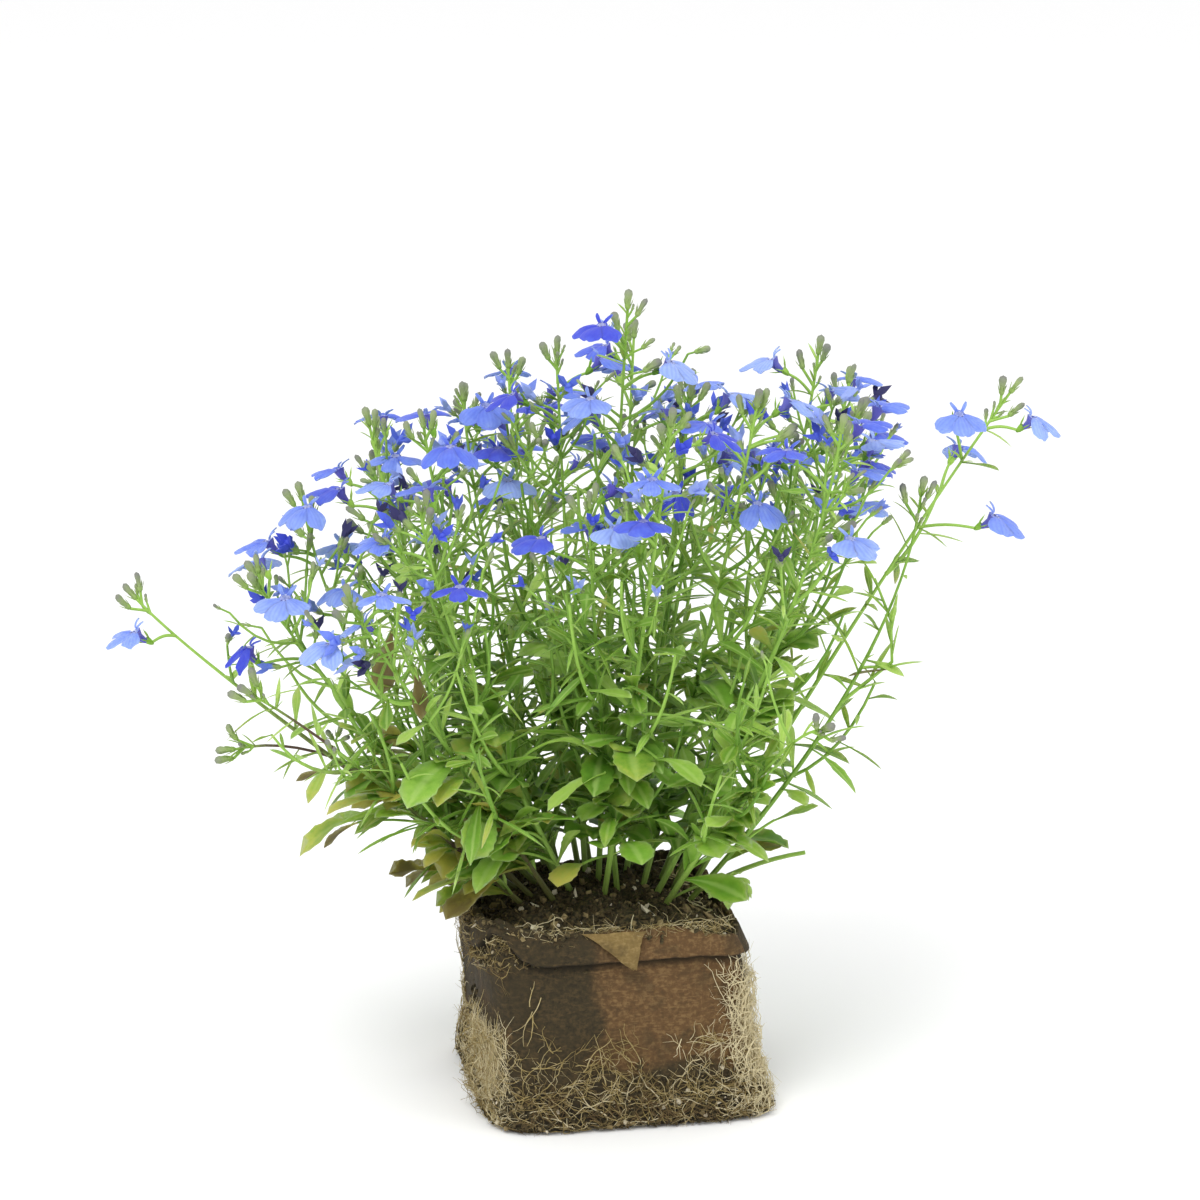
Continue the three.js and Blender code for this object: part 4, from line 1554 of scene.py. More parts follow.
@dataclass
class RootNet:
    """The roots that have grown through the pot's wall."""

    patches: tuple[RootPatch, ...] = (
        RootPatch(170, (0.64, 0.88), (0.4, 11), (-60, 60), (4, 13), (0.08, 0.18), 34, (0.1, 2.6), (0.5, 1.2)),
        RootPatch(190, (0.64, 0.88), (0.4, 14), (-50, 50), (4, 14), (0.06, 0.14), 36, (0.1, 2), (0.2, 1.2)),
        RootPatch(60, (0.635, 0.76), (10, 25), (-70, 70), (5, 14), (0.07, 0.15), 34, (0.1, 1.6), (0.35, 0.9)),
        RootPatch(70, (0.8, 0.88), (8, 26), (-70, 70), (5, 15), (0.08, 0.17), 34, (0.1, 2.2), (0, 0.6)),
        RootPatch(160, (0.5, 0.6), (2, 26), (20, 160), (4, 10), (0.07, 0.16), 26, (0.3, 4), (0.2, 0.9)),
        RootPatch(34, (0.64, 0.88), (0.8, 8), (-35, 35), (7, 18), (0.1, 0.22), 20, tint=(0, 0.6)),
        RootPatch(290, (0, 0.64), (0.4, 11), (-55, 55), (5, 16), (0.08, 0.2), 22, tint=(0.1, 1.1)),
        RootPatch(90, (0.88, 1), (0.4, 13), (-55, 55), (5, 16), (0.08, 0.2), 22, tint=(0.1, 1.1)),
        RootPatch(520, (0.54, 0.625), (1, 28), (40, 140), (3, 9), (0.06, 0.13), 18, (0, 0.7), (0, 0.6)),
        RootPatch(440, (0.855, 0.93), (2, 42), (20, 160), (4, 13), (0.07, 0.18), 36, (0.1, 3), (-0.6, 0.2)),
        RootPatch(26, (0.855, 0.9), (12, 36), (55, 125), (12, 28), (0.14, 0.26), 17, (0.2, 2), (0, 0.2)),
        RootPatch(110, (0.08, 0.17), (1, 30), (40, 140), (4, 16)),
        RootPatch(110, (0.33, 0.42), (1, 30), (40, 140), (4, 16)),
        RootPatch(9, (0.66, 0.71), (9, 20), (5, 35), (8, 16), (0.12, 0.2), 16, (0.2, 1.4), (0.45, 0.6)),
        RootPatch(9, (0.72, 0.78), (9, 18), (70, 150), (9, 18), (0.12, 0.2), 18, (0.2, 1.6), (0.45, 0.6)),
        RootPatch(4, (0.635, 0.67), (30, 42), (60, 75), (9, 16), (0.14, 0.2), 10, (0.2, 1), (0.4, 0.55)),
        RootPatch(16, (0.95, 1.6), (10, 30), (20, 160), (10, 24), (0.14, 0.24), 15, (0.2, 1.6), (0.3, 0.5)),
        RootPatch(220, (0.42, 0.64), (43, 57), (10, 170), (2, 7), (0.06, 0.15), 30, (0.4, 3.2), (0.3, 1)),
        RootPatch(190, (0.6, 0.87), (52.5, 57), (-60, 60), (2, 6), (0.05, 0.11), 26, (0.2, 1.4), (0.2, 0.8)),
    )
    step: float = 1.5
    on_peat: int = 46
    peat_step: float = 1.3
    peat_thick: float = 0.13
    finish: RootFinish = RootFinish("cream_root", bump_depth=0.08)

    def run(self, patch: RootPatch, draw: random.Random) -> tuple[list[Place], list[float]]:
        """One root over the wall.

        Args:
            patch: Where it starts and how it runs.
            draw: The net's draws.

        Returns:
            Its path and its radii.
        """
        share, height = draw.uniform(*patch.share), draw.uniform(*patch.height)
        bearing = math.radians(draw.uniform(*patch.heading_deg) + (180 if draw.random() < 0.5 else 0))
        long, out, thick = draw.uniform(*patch.long), draw.uniform(*patch.out), draw.uniform(*patch.thick)
        turn, path = 0.0, []
        for _ in range(max(5, int(long / self.step))):
            bare = POT.on_wall(share, height)
            stand = POT.relief(bare, POT.felt(share, height)) * smooth(height, 0.0, 3.0)
            tuck = 2.6 * (1 - smooth(height, 0.0, 2.4))
            arch = out * math.sin(math.pi * min(1.0, len(path) * self.step / long))
            path.append(POT.on_wall(share, height, stand + 0.15 + arch - tuck))
            turn = 0.8 * turn + math.radians(draw.gauss(0, patch.wander_deg))
            share += math.cos(bearing + turn) * self.step / POT.perimeter
            height += math.sin(bearing + turn) * self.step
            if not patch.floor <= height <= patch.ceiling:
                bearing = -bearing
                height = min(max(height, patch.floor), patch.ceiling)
        return path, [thick * lerp(1.0, 0.35, i / (len(path) - 1)) for i in range(len(path))]

    def branch(
        self, strands: Strands, path: list[Place], thick: list[float], tint: float, draw: random.Random
    ) -> None:
        """Adds a finer root that leaves another along the wall.

        Args:
            strands: What it is added to.
            path: The other root's path.
            thick: The other root's radii.
            tint: The other root's shade.
            draw: The net's draws.
        """
        start = draw.randrange(1, len(path) - 1)
        ahead = unit(path[start + 1] - path[start - 1])
        out = unit(vec(path[start][0] - POT.lean, path[start][1], 0))
        aside = unit(np.cross(out, ahead)) * draw.choice((-1, 1))
        way = unit(ahead + aside * draw.uniform(0.5, 1.4))
        long = draw.uniform(1.5, 5.0)
        sway = astray(draw, 0.35)
        places = [path[start] + way * long * s + sway * s * s + out * 0.12 * s for s in (0, 0.35, 0.7, 1.0)]
        places = [vec(place[0], place[1], max(place[2], 0.3)) for place in places]
        strands.add(places, [thick[start] * k for k in (0.7, 0.6, 0.5, 0.3)], tint)

    def run_on_peat(self, bed: PeatBed, draw: random.Random) -> list[Place]:
        """The path of a fine root that lies on the peat near its edge.

        Args:
            bed: The peat.
            draw: The net's draws.

        Returns:
            The path.
        """
        spot = POT.on_wall(draw.uniform(0.6, 1.1), 49.0, -draw.uniform(2.5, 9))
        heading, path = draw.uniform(0, math.tau), []
        middle, limit = POT.middle(50), POT.half(50) - 3
        for _ in range(draw.randint(5, 14)):
            spot = middle + np.clip(spot - middle, -limit, limit)
            path.append(vec(spot[0], spot[1], bed.height(spot[0], spot[1]) + 1.0 + 0.6 * draw.random()))
            heading += draw.gauss(0, 0.5)
            spot = spot + vec(math.cos(heading), math.sin(heading), 0) * self.peat_step
        return path

    def build(self, bed: PeatBed, strand: Growth) -> None:
        """Grows the roots and hands them over.

        Args:
            bed: The peat that some of the roots lie on.
            strand: What makes the roots round.
        """
        draw, strands = random.Random(11), Strands()
        for patch in self.patches:
            for _ in range(patch.count):
                path, thick = self.run(patch, draw)
                tint = draw.uniform(*patch.tint)
                strands.add(path, thick, tint)
                for _ in range(draw.randint(0, 2)):
                    self.branch(strands, path, thick, tint, draw)
        for _ in range(self.on_peat):
            path = self.run_on_peat(bed, draw)
            strands.add(path, [self.peat_thick] * len(path), draw.uniform(0.0, 0.5))
        threads = strands.object("root_threads")
        roots = strand.grow(threads, ("tint",), Sides=4, Finish=self.finish.material())
        hand_over(roots, Slot.ROOT, ["root_net"])


# ---- Shoots ----------------------------------------------------------------------------------------

PLANT_TURN = math.radians(-11)
SPRAY_FROM = 0.64
KNOTS = (0.0, 0.16, 0.32, 0.48, 0.64, 0.82, 1.0)


def in_pot(place: Sequence[float]) -> Place:
    """A place in the plant's axes, in the pot's."""
    return spun(vec(*place), UP, PLANT_TURN)


@dataclass(frozen=True)
class Way:
    """One of the ways that a piece may leave its shoot."""

    turn_deg: float
    more_lift_deg: float


@dataclass(frozen=True)
class Stem:
    """A shoot's stem at one place, with its directions there."""

    middle: Place
    ahead: Place
    across: Place
    within: Place

    def off(self, turn_deg: float, lift_deg: float) -> Place:
        """The direction off the stem, turned about it and lifted towards its top.

        Args:
            turn_deg: The turn about the stem.
            lift_deg: The lift towards the stem's top.

        Returns:
            The direction.
        """
        turn, lift = math.radians(turn_deg), math.radians(lift_deg)
        level = self.across * math.cos(turn) + self.within * math.sin(turn)
        return level * math.cos(lift) + self.ahead * math.sin(lift)

    def by(self, way: Way, lift_deg: float) -> Place:
        """The direction off the stem for a way, where a piece is usually lifted so far."""
        return self.off(way.turn_deg, lift_deg + way.more_lift_deg)


@dataclass
class Shoot:
    """A shoot: a curve from the bottom of its hole in the peat to the base of its topmost bud."""

    number: int
    foot: tuple[float, float]
    bend: tuple[float, float, float]
    tip: tuple[float, float, float]
    blooms: int
    turn_deg: float = 0.0
    reach: float = 1.0
    ends: tuple[Place, Place, Place] = field(init=False)

    depth: float = 7.0
    foot_radius: float = 0.9
    tip_radius: float = 0.4

    def __post_init__(self) -> None:
        """Works out the curve's three guide points."""
        start = in_pot((*self.foot, 0.0))
        start[2] = PeatBed().height(start[0], start[1]) - self.depth
        middle, end = in_pot(self.bend), in_pot(self.tip)
        self.ends = (start, start * -0.5 + middle * 2 - end * 0.5, end)

    def point(self, t: float) -> Place:
        """The curve at t."""
        return bent(*self.ends, t)

    def ahead(self, t: float) -> Place:
        """The curve's direction at t."""
        start, guide, end = self.ends
        return unit(lerp(guide - start, end - guide, t))

    @property
    def long(self) -> float:
        """The curve's length."""
        places = [self.point(t) for t in np.linspace(0, 1, 40)]
        return sum(np.linalg.norm(b - a) for a, b in zip(places, places[1:]))

    def radius(self, t: float) -> float:
        """The stem's radius at t."""
        return lerp(self.foot_radius, self.tip_radius, min(1.0, 1.35 * t))

    def stem(self, t: float) -> Stem:
        """The stem at t on the straight lengths that its solid has.

        Args:
            t: How far along the shoot it is, from 0 to 1.

        Returns:
            The stem there.
        """
        low, high = next(pair for pair in zip(KNOTS, KNOTS[1:]) if pair[1] >= t)
        start, end = self.point(low), self.point(high)
        ahead = unit(end - start)
        first, guide, last = self.ends
        across = unit(np.cross(guide - first, last - guide))
        return Stem(lerp(start, end, (t - low) / (high - low)), ahead, across, np.cross(ahead, across))

    @property
    def leafy_node(self) -> str:
        """The solid that holds its leafy stem."""
        return f"leafy_stem_{self.number + 1:02d}"

    @property
    def top_node(self) -> str:
        """The solid that holds its topmost stem."""
        return f"flower_spray_{self.number + 1:02d}" if self.blooms else self.leafy_node


SHOOTS = [
    Shoot(number, *row)
    for number, row in enumerate(
        (
            ((-19, 2), (-92, -7, 108), (-129, -5, 140), 1, 0, 0.6),
            ((-18, -5), (-68, -19, 110), (-95, -22, 150), 3),
            ((-15, 5), (-62, -2, 109), (-84, 1, 166), 4),
            ((-18, 14), (-51, 21, 117), (-66, 28, 169), 3),
            ((-13, 10), (-48, 6, 128), (-66, 9, 185), 4),
            ((-12, 0), (-38, -14, 134), (-50, -18, 190), 4),
            ((-13, 18), (-32, 19, 132), (-41, 24, 189), 4),
            ((-8, 22), (-23, 34, 138), (-29, 46, 194), 3),
            ((-7, 9), (-12, 7, 140), (-15, 7, 205), 4),
            ((-4, 2), (0, -9, 147), (4, -13, 221), 4, 120),
            ((-1, 14), (3, 20, 140), (6, 27, 206), 4, 120),
            ((3, 7), (14, 2, 136), (21, -2, 195), 4),
            ((6, 19), (16, 28, 134), (22, 38, 190), 3, 120),
            ((7, 0), (27, -14, 138), (38, -21, 196), 4),
            ((2, -4), (-4, -25, 127), (-6, -36, 172), 4, 120),
            ((-8, -5), (-37, -30, 122), (-50, -42, 172), 4),
            ((11, 9), (41, 9, 136), (56, 13, 204), 4),
            ((12, 17), (48, 27, 133), (66, 35, 192), 3),
            ((14, 2), (48, -8, 137), (65, -12, 192), 4),
            ((9, -6), (44, -32, 135), (59, -44, 194), 4),
            ((18, 6), (66, -3, 133), (107, 0, 196), 4, 0, 1.25),
            ((16, 21), (48, 40, 122), (64, 51, 176), 3),
            ((-3, -8), (8, -34, 137), (15, -46, 196), 3),
            ((-13, -9), (-47, -40, 113), (-67, -58, 150), 3),
            ((-5, 26), (-17, 54, 122), (-24, 74, 170), 4),
            ((4, 27), (21, 58, 118), (29, 80, 164), 4),
            ((17, -3), (63, -21, 118), (82, -20, 172), 0),
            ((-20, 8), (-66, 0, 89), (-103, -6, 98), 0),
            ((-19, -10), (-64, -34, 98), (-94, -46, 124), 0),
            ((-15, 22), (-44, 48, 106), (-64, 66, 136), 0),
            ((12, -10), (38, -42, 100), (54, -64, 120), 0),
        )
    )
]


@dataclass
class PackedCorners:
    """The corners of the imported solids, which tell the way that each leaf, bloom and bud was set.

    A piece was tried at three sides of its shoot with some lifts and swings until it kept clear.
    """

    trees: dict[str, KDTree] = field(default_factory=dict)
    worst: float = 0.0
    lifts_deg: tuple[float, ...] = (0, 12, -12, 24, 36)
    swings_deg: tuple[float, ...] = (0, 11, -11)

    def tree(self, node: str) -> KDTree:
        """A solid's corners.

        Args:
            node: The solid's name.

        Returns:
            The corners, ready for searches.
        """
        if node not in self.trees:
            corners = frame["nodes"][node].data.vertices
            tree = KDTree(len(corners))
            for number, corner in enumerate(corners):
                tree.insert(corner.co, number)
            tree.balance()
            self.trees[node] = tree
        return self.trees[node]

    def way(self, node: str, wanted_deg: float, keys: Sequence[int], corner: Callable[[Way], Place]) -> Way:
        """The way that a piece of a solid was set.

        Args:
            node: The solid.
            wanted_deg: The turn that was wanted.
            keys: The whole numbers of the piece's draws.
            corner: Where one of the piece's own corners would be for a way.

        Returns:
            The way whose corner the solid has.
        """
        side = math.floor((wanted_deg - 60) / 120 + 0.5)
        ways = [
            Way(60 + 120 * (side + turn) + swing + between(-8, 8, *keys, turn), lift)
            for lift in self.lifts_deg
            for turn in range(3)
            for swing in self.swings_deg
        ]
        tree = self.tree(node)
        misses = [tree.find(Vector(corner(way) * MM))[2] / MM for way in ways]
        self.worst = max(self.worst, min(misses))
        return ways[misses.index(min(misses))]


PACKED = PackedCorners()


# ---- Leaves ----------------------------------------------------------------------------------------


class Leaf(Enum):
    """The kinds of leaf shape, by their place in the box of shapes."""

    BROAD = 0
    WAVY = 1
    MIDDLE = 2
    TOOTHED = 3
    NARROW = 4
    TINY = 5


@dataclass(frozen=True)
class LeafShape:
    """A leaf blade: half widths along it, its teeth and how it is folded."""

    half: tuple[float, ...]
    rings: int
    teeth: float = 0.0
    fold: float = 0.12
    ripple: float = 0.0
    keel: float = 0.4
    spans: tuple[float, ...] = (1.0, 0.0, -1.0)

    def skin(self) -> Skin:
        """The blade as a closed skin, with its place along, across and off its spine.

        Returns:
            The blade's skin.
        """
        skin = Skin()
        stations = np.linspace(0, 1, len(self.half) + 1)
        rings = []
        for i in range(self.rings):
            along = (i / self.rings) ** 0.92
            half = float(np.interp(along, stations, (*self.half, 0.25)))
            half *= 1 + self.teeth * (1 if i % 2 else -1) * smooth(along, 0.25, 0.4)
            ring = []
            for aside in self.spans:
                wave = self.ripple * math.sin(11 * along + 2.2 * aside) * aside * aside
                relief = half * (self.fold * abs(aside) + wave)
                ring.append(self.corner(skin, along, half * aside, relief, aside))
            ring.append(self.corner(skin, along, 0.0, -self.keel * (1 - 0.6 * along), 0.0))
            rings.append(ring)
        foot = self.corner(skin, -0.02, 0.0, 0.0, 0.0)
        skin.loft(rings, foot, self.corner(skin, 1.0, 0.0, 0.0, 0.0))
        return skin

    @staticmethod
    def corner(skin: Skin, along: float, across: float, relief: float, aside: float) -> int:
        """Adds a corner of the blade."""
        place = vec(across, 20 * along, relief)
        return skin.corner(place, along=along, across=across, relief=relief, aside=aside)


FIVE_ACROSS = (1.0, 0.5, 0.0, -0.5, -1.0)


LEAF_SHAPES = {
    Leaf.BROAD: LeafShape((0.55, 0.9, 2.0, 3.0, 4.0, 4.5, 4.7, 3.9), 15, 0.035, 0.14, 0.05, 0.5, FIVE_ACROSS),
    Leaf.WAVY: LeafShape((0.55, 0.9, 1.9, 2.8, 3.8, 4.4, 4.6, 3.7), 15, 0.05, 0.3, 0.16, 0.5, FIVE_ACROSS),
    Leaf.MIDDLE: LeafShape((0.5, 0.7, 1.3, 2.1, 2.8, 2.5), 10, 0.0, 0.25, 0.05, 0.4),
    Leaf.TOOTHED: LeafShape((0.5, 0.7, 1.4, 2.4, 3.2, 2.9), 12, 0.07, 0.2, 0.1, 0.4),
    Leaf.NARROW: LeafShape((0.45, 0.8, 1.2, 1.1, 0.7), 6, 0.0, 0.35, 0.0, 0.3),
    Leaf.TINY: LeafShape((0.35, 0.6, 0.75, 0.5), 4, 0.0, 0.4, 0.0, 0.22),
}


@dataclass(frozen=True)
class LeafSlot:
    """A place for a leaf that every shoot's solid has."""

    at: float
    shapes: tuple[Leaf, Leaf]
    long: float
    lift_deg: float
    arch: float


LEAF_SLOTS = (
    LeafSlot(0.12, (Leaf.BROAD, Leaf.WAVY), 21, 46, 0.3),
    LeafSlot(0.2, (Leaf.MIDDLE, Leaf.TOOTHED), 21, 38, 0.3),
    LeafSlot(0.28, (Leaf.MIDDLE, Leaf.TOOTHED), 21, 38, 0.3),
    LeafSlot(0.39, (Leaf.NARROW, Leaf.NARROW), 18, 42, 0.2),
    LeafSlot(0.55, (Leaf.NARROW, Leaf.NARROW), 18, 42, 0.2),
)


def is_clear_of_pot(place: Place, spare: float = 0.8) -> bool:
    """Whether a place keeps off the peat, the pot's wall and the ground.

    Args:
        place: The place.
        spare: How far it has to keep off, in millimetres.

    Returns:
        Whether it does.
    """
    widest = max(abs(place[0] - POT.middle(place[2])[0]), abs(place[1]))
    if widest < POT.mouth / 2 - 2:
        return place[2] > PeatBed().height(place[0], place[1]) + spare
    if widest < POT.half(place[2]) + 2.5 + spare:
        return place[2] > POT.rim(math.atan2(place[1], place[0])) + 0.6 + spare
    return place[2] > 6


def is_inside_box(place: Place, over: float = 3.0) -> bool:
    """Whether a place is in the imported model's box, or hardly over it."""
    low, high = (np.array(corner) / MM for corner in CAD_BOX)
    return bool(np.all(place > low - over) and np.all(place < high + over))


def has_room(places: Iterable[Place], spare: float = 0.8) -> bool:
    """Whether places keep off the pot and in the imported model's box."""
    return all(is_clear_of_pot(place, spare) and is_inside_box(place) for place in places)


@dataclass(frozen=True)
class Habit:
    """How far out the plant spreads on its left and right at some heights."""

    heights: tuple[float, ...] = (50, 65, 80, 95, 110, 122, 133, 144, 158, 178, 200)
    left: tuple[float, ...] = (-57, -63, -76, -90, -98, -106, -114, -106, -88, -78, -60)
    right: tuple[float, ...] = (37, 37, 38, 41, 46, 54, 64, 71, 78, 90, 100)
    open_front: float = 68.0
    airy: tuple[int, ...] = (0, 20, 26, 27)

    def holds(self, place: Place) -> bool:
        """Whether a place is within the plant's spread.

        Args:
            place: The place.

        Returns:
            Whether it is.
        """
        aside = spun(place, UP, -PLANT_TURN)[0]
        low, high = (float(np.interp(place[2], self.heights, row)) for row in (self.left, self.right))
        return low < aside < high

    def spares(self, place: Place) -> bool:
        """Whether a leaf's place is within the spread and off the peat's open front.

        Args:
            place: The place.

        Returns:
            Whether it is.
        """
        aside, behind, height = spun(place, UP, -PLANT_TURN)
        if aside > -22 and height < self.open_front - 0.25 * behind:
            return False
        return height > 150 or self.holds(place)


HABIT = Habit()


@dataclass
class Greens:
    """The stems and leaves of one piece while it grows."""

    strands: Strands = field(default_factory=Strands)
    is_airy: bool = False
    blades: Seeds = field(default_factory=Seeds)
    cups: Seeds = field(default_factory=Seeds)
    buds: Seeds = field(default_factory=Seeds)

    def leaf(
        self,
        root: Place,
        heading: Place,
        fall: Place,
        reach: float,
        spread: float,
        shape: Leaf,
        **looks: float,
    ) -> None:
        """Adds a leaf.

        Args:
            root: Where it leaves its stem.
            heading: The direction in which it leaves.
            fall: How it bends away from that, as a share of its length at its tip.
            reach: Its length along the heading.
            spread: Its width, as a multiple of its shape's.
            shape: Its shape.
            looks: Its tint, age, roll and twist where they aren't plain.
        """
        level = np.cross(UP, heading)
        level = unit(level) if np.linalg.norm(level) > 0.05 else RIGHT
        sizes = {"reach": reach * MM, "spread": spread * MM}
        plain = {"tint": 0.5, "age": 0.0, "roll": 0.0, "twist": 0.0}
        numbers = {name: float(value) for name, value in {**sizes, **plain, **looks}.items()}
        places = {"root": root * MM, "heading": heading, "fall": fall, "level": level}
        self.blades.add(root, **places, kind=shape.value, **numbers)

    def free_leaf(
        self,
        root: Place,
        heading: Place,
        reach: float,
        arch: float,
        shape: Leaf,
        spread: float,
        **looks: float,
    ) -> None:
        """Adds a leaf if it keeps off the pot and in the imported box, lifting it if need be.

        Args:
            root: Where it leaves its stem.
            heading: The direction in which it should leave.
            reach: Its length.
            arch: How far its tip falls, as a share of its length.
            shape: Its shape.
            spread: Its width, as a multiple of its shape's.
            looks: Its tint, age, roll and twist where they aren't plain.
        """
        for lift in (0.0, 0.35, 0.8):
            way = unit(heading + UP * lift)
            fall = -UP * arch * (1 - lift)
            places = [root + (way * s + fall * s * s) * reach for s in (0.7, 1.0)]
            if (self.is_airy or all(HABIT.spares(place) for place in places)) and has_room(places):
                self.leaf(root, way, fall, reach, spread, shape, **looks)
                return

    def build(self, name: str, kit: "Kit") -> bpy.types.Object:
        """Turns all of it into one piece.

        Args:
            name: The piece's name.
            kit: The plant's shapes, growths and finishes.

        Returns:
            The piece.
        """
        keep = ("tint", "age", "along", "aside")
        parts = [kit.strand.grow(self.strands.object("stems"), keep, Sides=6, Finish=kit.stem)]
        for title, seeds, growth, shapes, finish in (
            ("leaves", self.blades, kit.blade, kit.leaf_shapes, kit.leaf),
            ("cups", self.cups, kit.set_piece, kit.cup_shapes, kit.leaf),
            ("buds", self.buds, kit.set_piece, kit.bud_shapes, kit.bud),
        ):
            if seeds.rows:
                parts.append(growth.grow(seeds.object(title), keep, Shapes=shapes, Finish=finish))
        return joined(name, parts)


# ---- Blooms and buds -------------------------------------------------------------------------------


THROAT = vec(0, 3.8, 4.2)
OPENING = vec(0, 0.5, math.sin(math.radians(60)))
LOBE_FAR = (0.1, 0.3, 0.55, 0.78, 0.92, 1.0)
LOBE_HALF = (0.34, 0.55, 0.88, 1.0, 0.84, 0.42)


@dataclass(frozen=True)
class BloomShape:
    """One habit of a bloom: how its lip hangs and its lobes are curled."""

    droop_deg: float = 9.0
    curl: float = 0.012
    camber: float = 0.5
    half: float = 2.9
    crumple: float = 0.4
    turn_deg: tuple[float, float, float] = (-57.0, 0.0, 57.0)
    sides_down: float = 0.0
    long: tuple[float, float, float] = (8.2, 8.9, 8.2)
    thick: float = 0.22

    def lobe(self, skin: Skin, turn_deg: float, long: float, seed: int) -> None:
        """Adds a lobe of the lip.

        Args:
            skin: What it is added to.
            turn_deg: How far it is turned from the lip's middle.
            long: Its length.
            seed: Chooses its creases.
        """
        rows, columns = 7, 5
        turn, droop = -math.radians(turn_deg), math.radians(self.droop_deg)
        wide = self.half * (1 + 0.35 * rough(vec(seed, self.camber * 9, self.droop_deg), 3, 63))
        hang = self.sides_down * abs(turn_deg) / 57
        grid = []
        for i in range(rows):
            far = lerp(0.1, 1.0, (i / (rows - 1)) ** 0.9)
            width = wide * float(np.interp(far, LOBE_FAR, LOBE_HALF))
            row = []
            for aside in np.linspace(-1, 1, columns):
                flat = spun(vec(width * aside, long * far * (1 - 0.05 * aside * aside), 0), UP, turn)
                fall = self.curl * flat.dot(flat) + flat[1] * math.sin(droop) + hang * far * far
                lift = self.camber * (math.sin(math.pi * far) * (1 - aside * aside) - 0.5 * far**3)
                lift += self.crumple * rough(vec(far * 7, aside * 3, seed), 2.2, 61 + seed)
                lift += 0.22 * math.sin(3.1 * aside + seed) * far
                row.append(THROAT + vec(flat[0], flat[1] * math.cos(droop), lift - fall))
            grid.append(row)
        self.petal(skin, grid, 0.0, 0.1)

    def petal(self, skin: Skin, grid: list[list[Place]], part: float, start: float) -> None:
        """Adds a petal's sheet with the values that its finish reads.

        Args:
            skin: What it is added to.
            grid: Its upper face.
            part: 0 for a lobe of the lip and 1 for an ear.
            start: How far along the bloom its foot counts.
        """
        rows, columns = len(grid) - 1, len(grid[0]) - 1

        def values(i: int, j: int, under: bool) -> dict[str, float]:
            """A corner's values."""
            looks = {"along": lerp(start, 1.0, i / rows), "aside": 2 * j / columns - 1}
            return {**looks, "under": float(under), "part": part}

        skin.sheet(grid, self.thick, values)

    def ear(self, skin: Skin, side: int) -> None:
        """Adds an upper lobe, narrow and bent back.

        Args:
            skin: The bloom's skin.
            side: Its side, -1 or 1.
        """
        foot, tip = THROAT + vec(0.7 * side, -0.6, 0.7), THROAT + vec(1.7 * side, -2.4, 2.9)
        grid = []
        for far in np.linspace(0, 1, 5):
            width = float(np.interp(far, (0, 0.4, 0.75, 1), (0.4, 0.55, 0.55, 0.15)))
            spine = lerp(foot, tip, far) + vec(0.6 * side * far * far, 0.5 * math.sin(math.pi * far), 0)
            grid.append([spine + vec(-width * aside, 0.25 * abs(aside), 0) for aside in (-1, 0, 1)])
        self.petal(skin, grid, 1.0, 0.3)

    def tube(self, skin: Skin) -> None:
        """Adds the tube with the hollow of its throat.

        Args:
            skin: The bloom's skin.
        """
        down = np.cross(OPENING, RIGHT)
        outer = {"aside": 0.0, "under": 0.0, "part": 0.5}
        inner = {"aside": 0.0, "under": 0.0, "part": 0.0, "along": 0.1}
        rings = []
        for share, radius in ((0.02, 0.5), (0.35, 0.85), (0.7, 1.15), (1.0, 1.75)):
            middle = THROAT * share + vec(0, 0.5, -0.4) * math.sin(math.pi * share)
            rings.append(skin.ring(circle(middle, RIGHT * radius, down * radius, 8), along=share, **outer))
        for inward, radius in ((-0.05, 1.35), (1.2, 0.8)):
            places = circle(THROAT - OPENING * inward, RIGHT * radius, down * radius, 8)
            rings.append(skin.ring(places, **inner))
        foot = skin.corner(UP * -0.2, along=0.0, **outer)
        skin.loft(rings, foot, skin.corner(THROAT - OPENING * 2.2, **inner))

    def skin(self) -> Skin:
        """The bloom in its own axes, +Y outward and +Z up, from its pedicel's end.

        Returns:
            The bloom's skin.
        """
        skin = Skin()
        for seed, (turn_deg, long) in enumerate(zip(self.turn_deg, self.long)):
            self.lobe(skin, turn_deg, long, seed)
        self.ear(skin, 1)
        self.ear(skin, -1)
        self.tube(skin)
        return skin


BLOOM_SHAPES = (
    BloomShape(8),
    BloomShape(12, 0.014, 0.8, 3.0),
    BloomShape(3, 0.02, 0.4, 2.75, 0.5, (-61, -4, 53)),
    BloomShape(9, 0.01, 0.7, 2.85, 0.6, (-50, 5, 62), 1.2),
    BloomShape(18, 0.02, 1.0, 2.7, 0.8, sides_down=1.6),
    BloomShape(0, 0.014, 0.9, 2.9, 0.5, (-66, 2, 57), -0.5),
    BloomShape(32, 0.05, 1.2, 1.9, 1.3, sides_down=2.2, long=(5.8, 6.4, 5.6)),
)
WITHERED = len(BLOOM_SHAPES) - 1


def needle(skin: Skin, foot: Place, tip: Place, half: float, start: float = 0.3, **values: float) -> None:
    """Adds a narrow tooth.

    Args:
        skin: What it is added to.
        foot: Where it starts.
        tip: Where it ends.
        half: Half its width.
        start: How far along the whole its foot counts.
        values: Its other values.
    """
    ahead = unit(tip - foot)
    side = unit(np.cross(ahead, UP + vec(0.01, 0.02, 0)))
    over = np.cross(ahead, side) * 0.6
    rings = []
    for share, width in ((0.0, 0.7 * half), (0.45, half)):
        places = circle(lerp(foot, tip, share), side * width, over * width, 3)
        rings.append(skin.ring(places, along=start + 0.3 * share, **values))
    base = skin.corner(foot, along=start, **values)
    skin.loft(rings, base, skin.corner(tip, along=start + 0.4, **values))


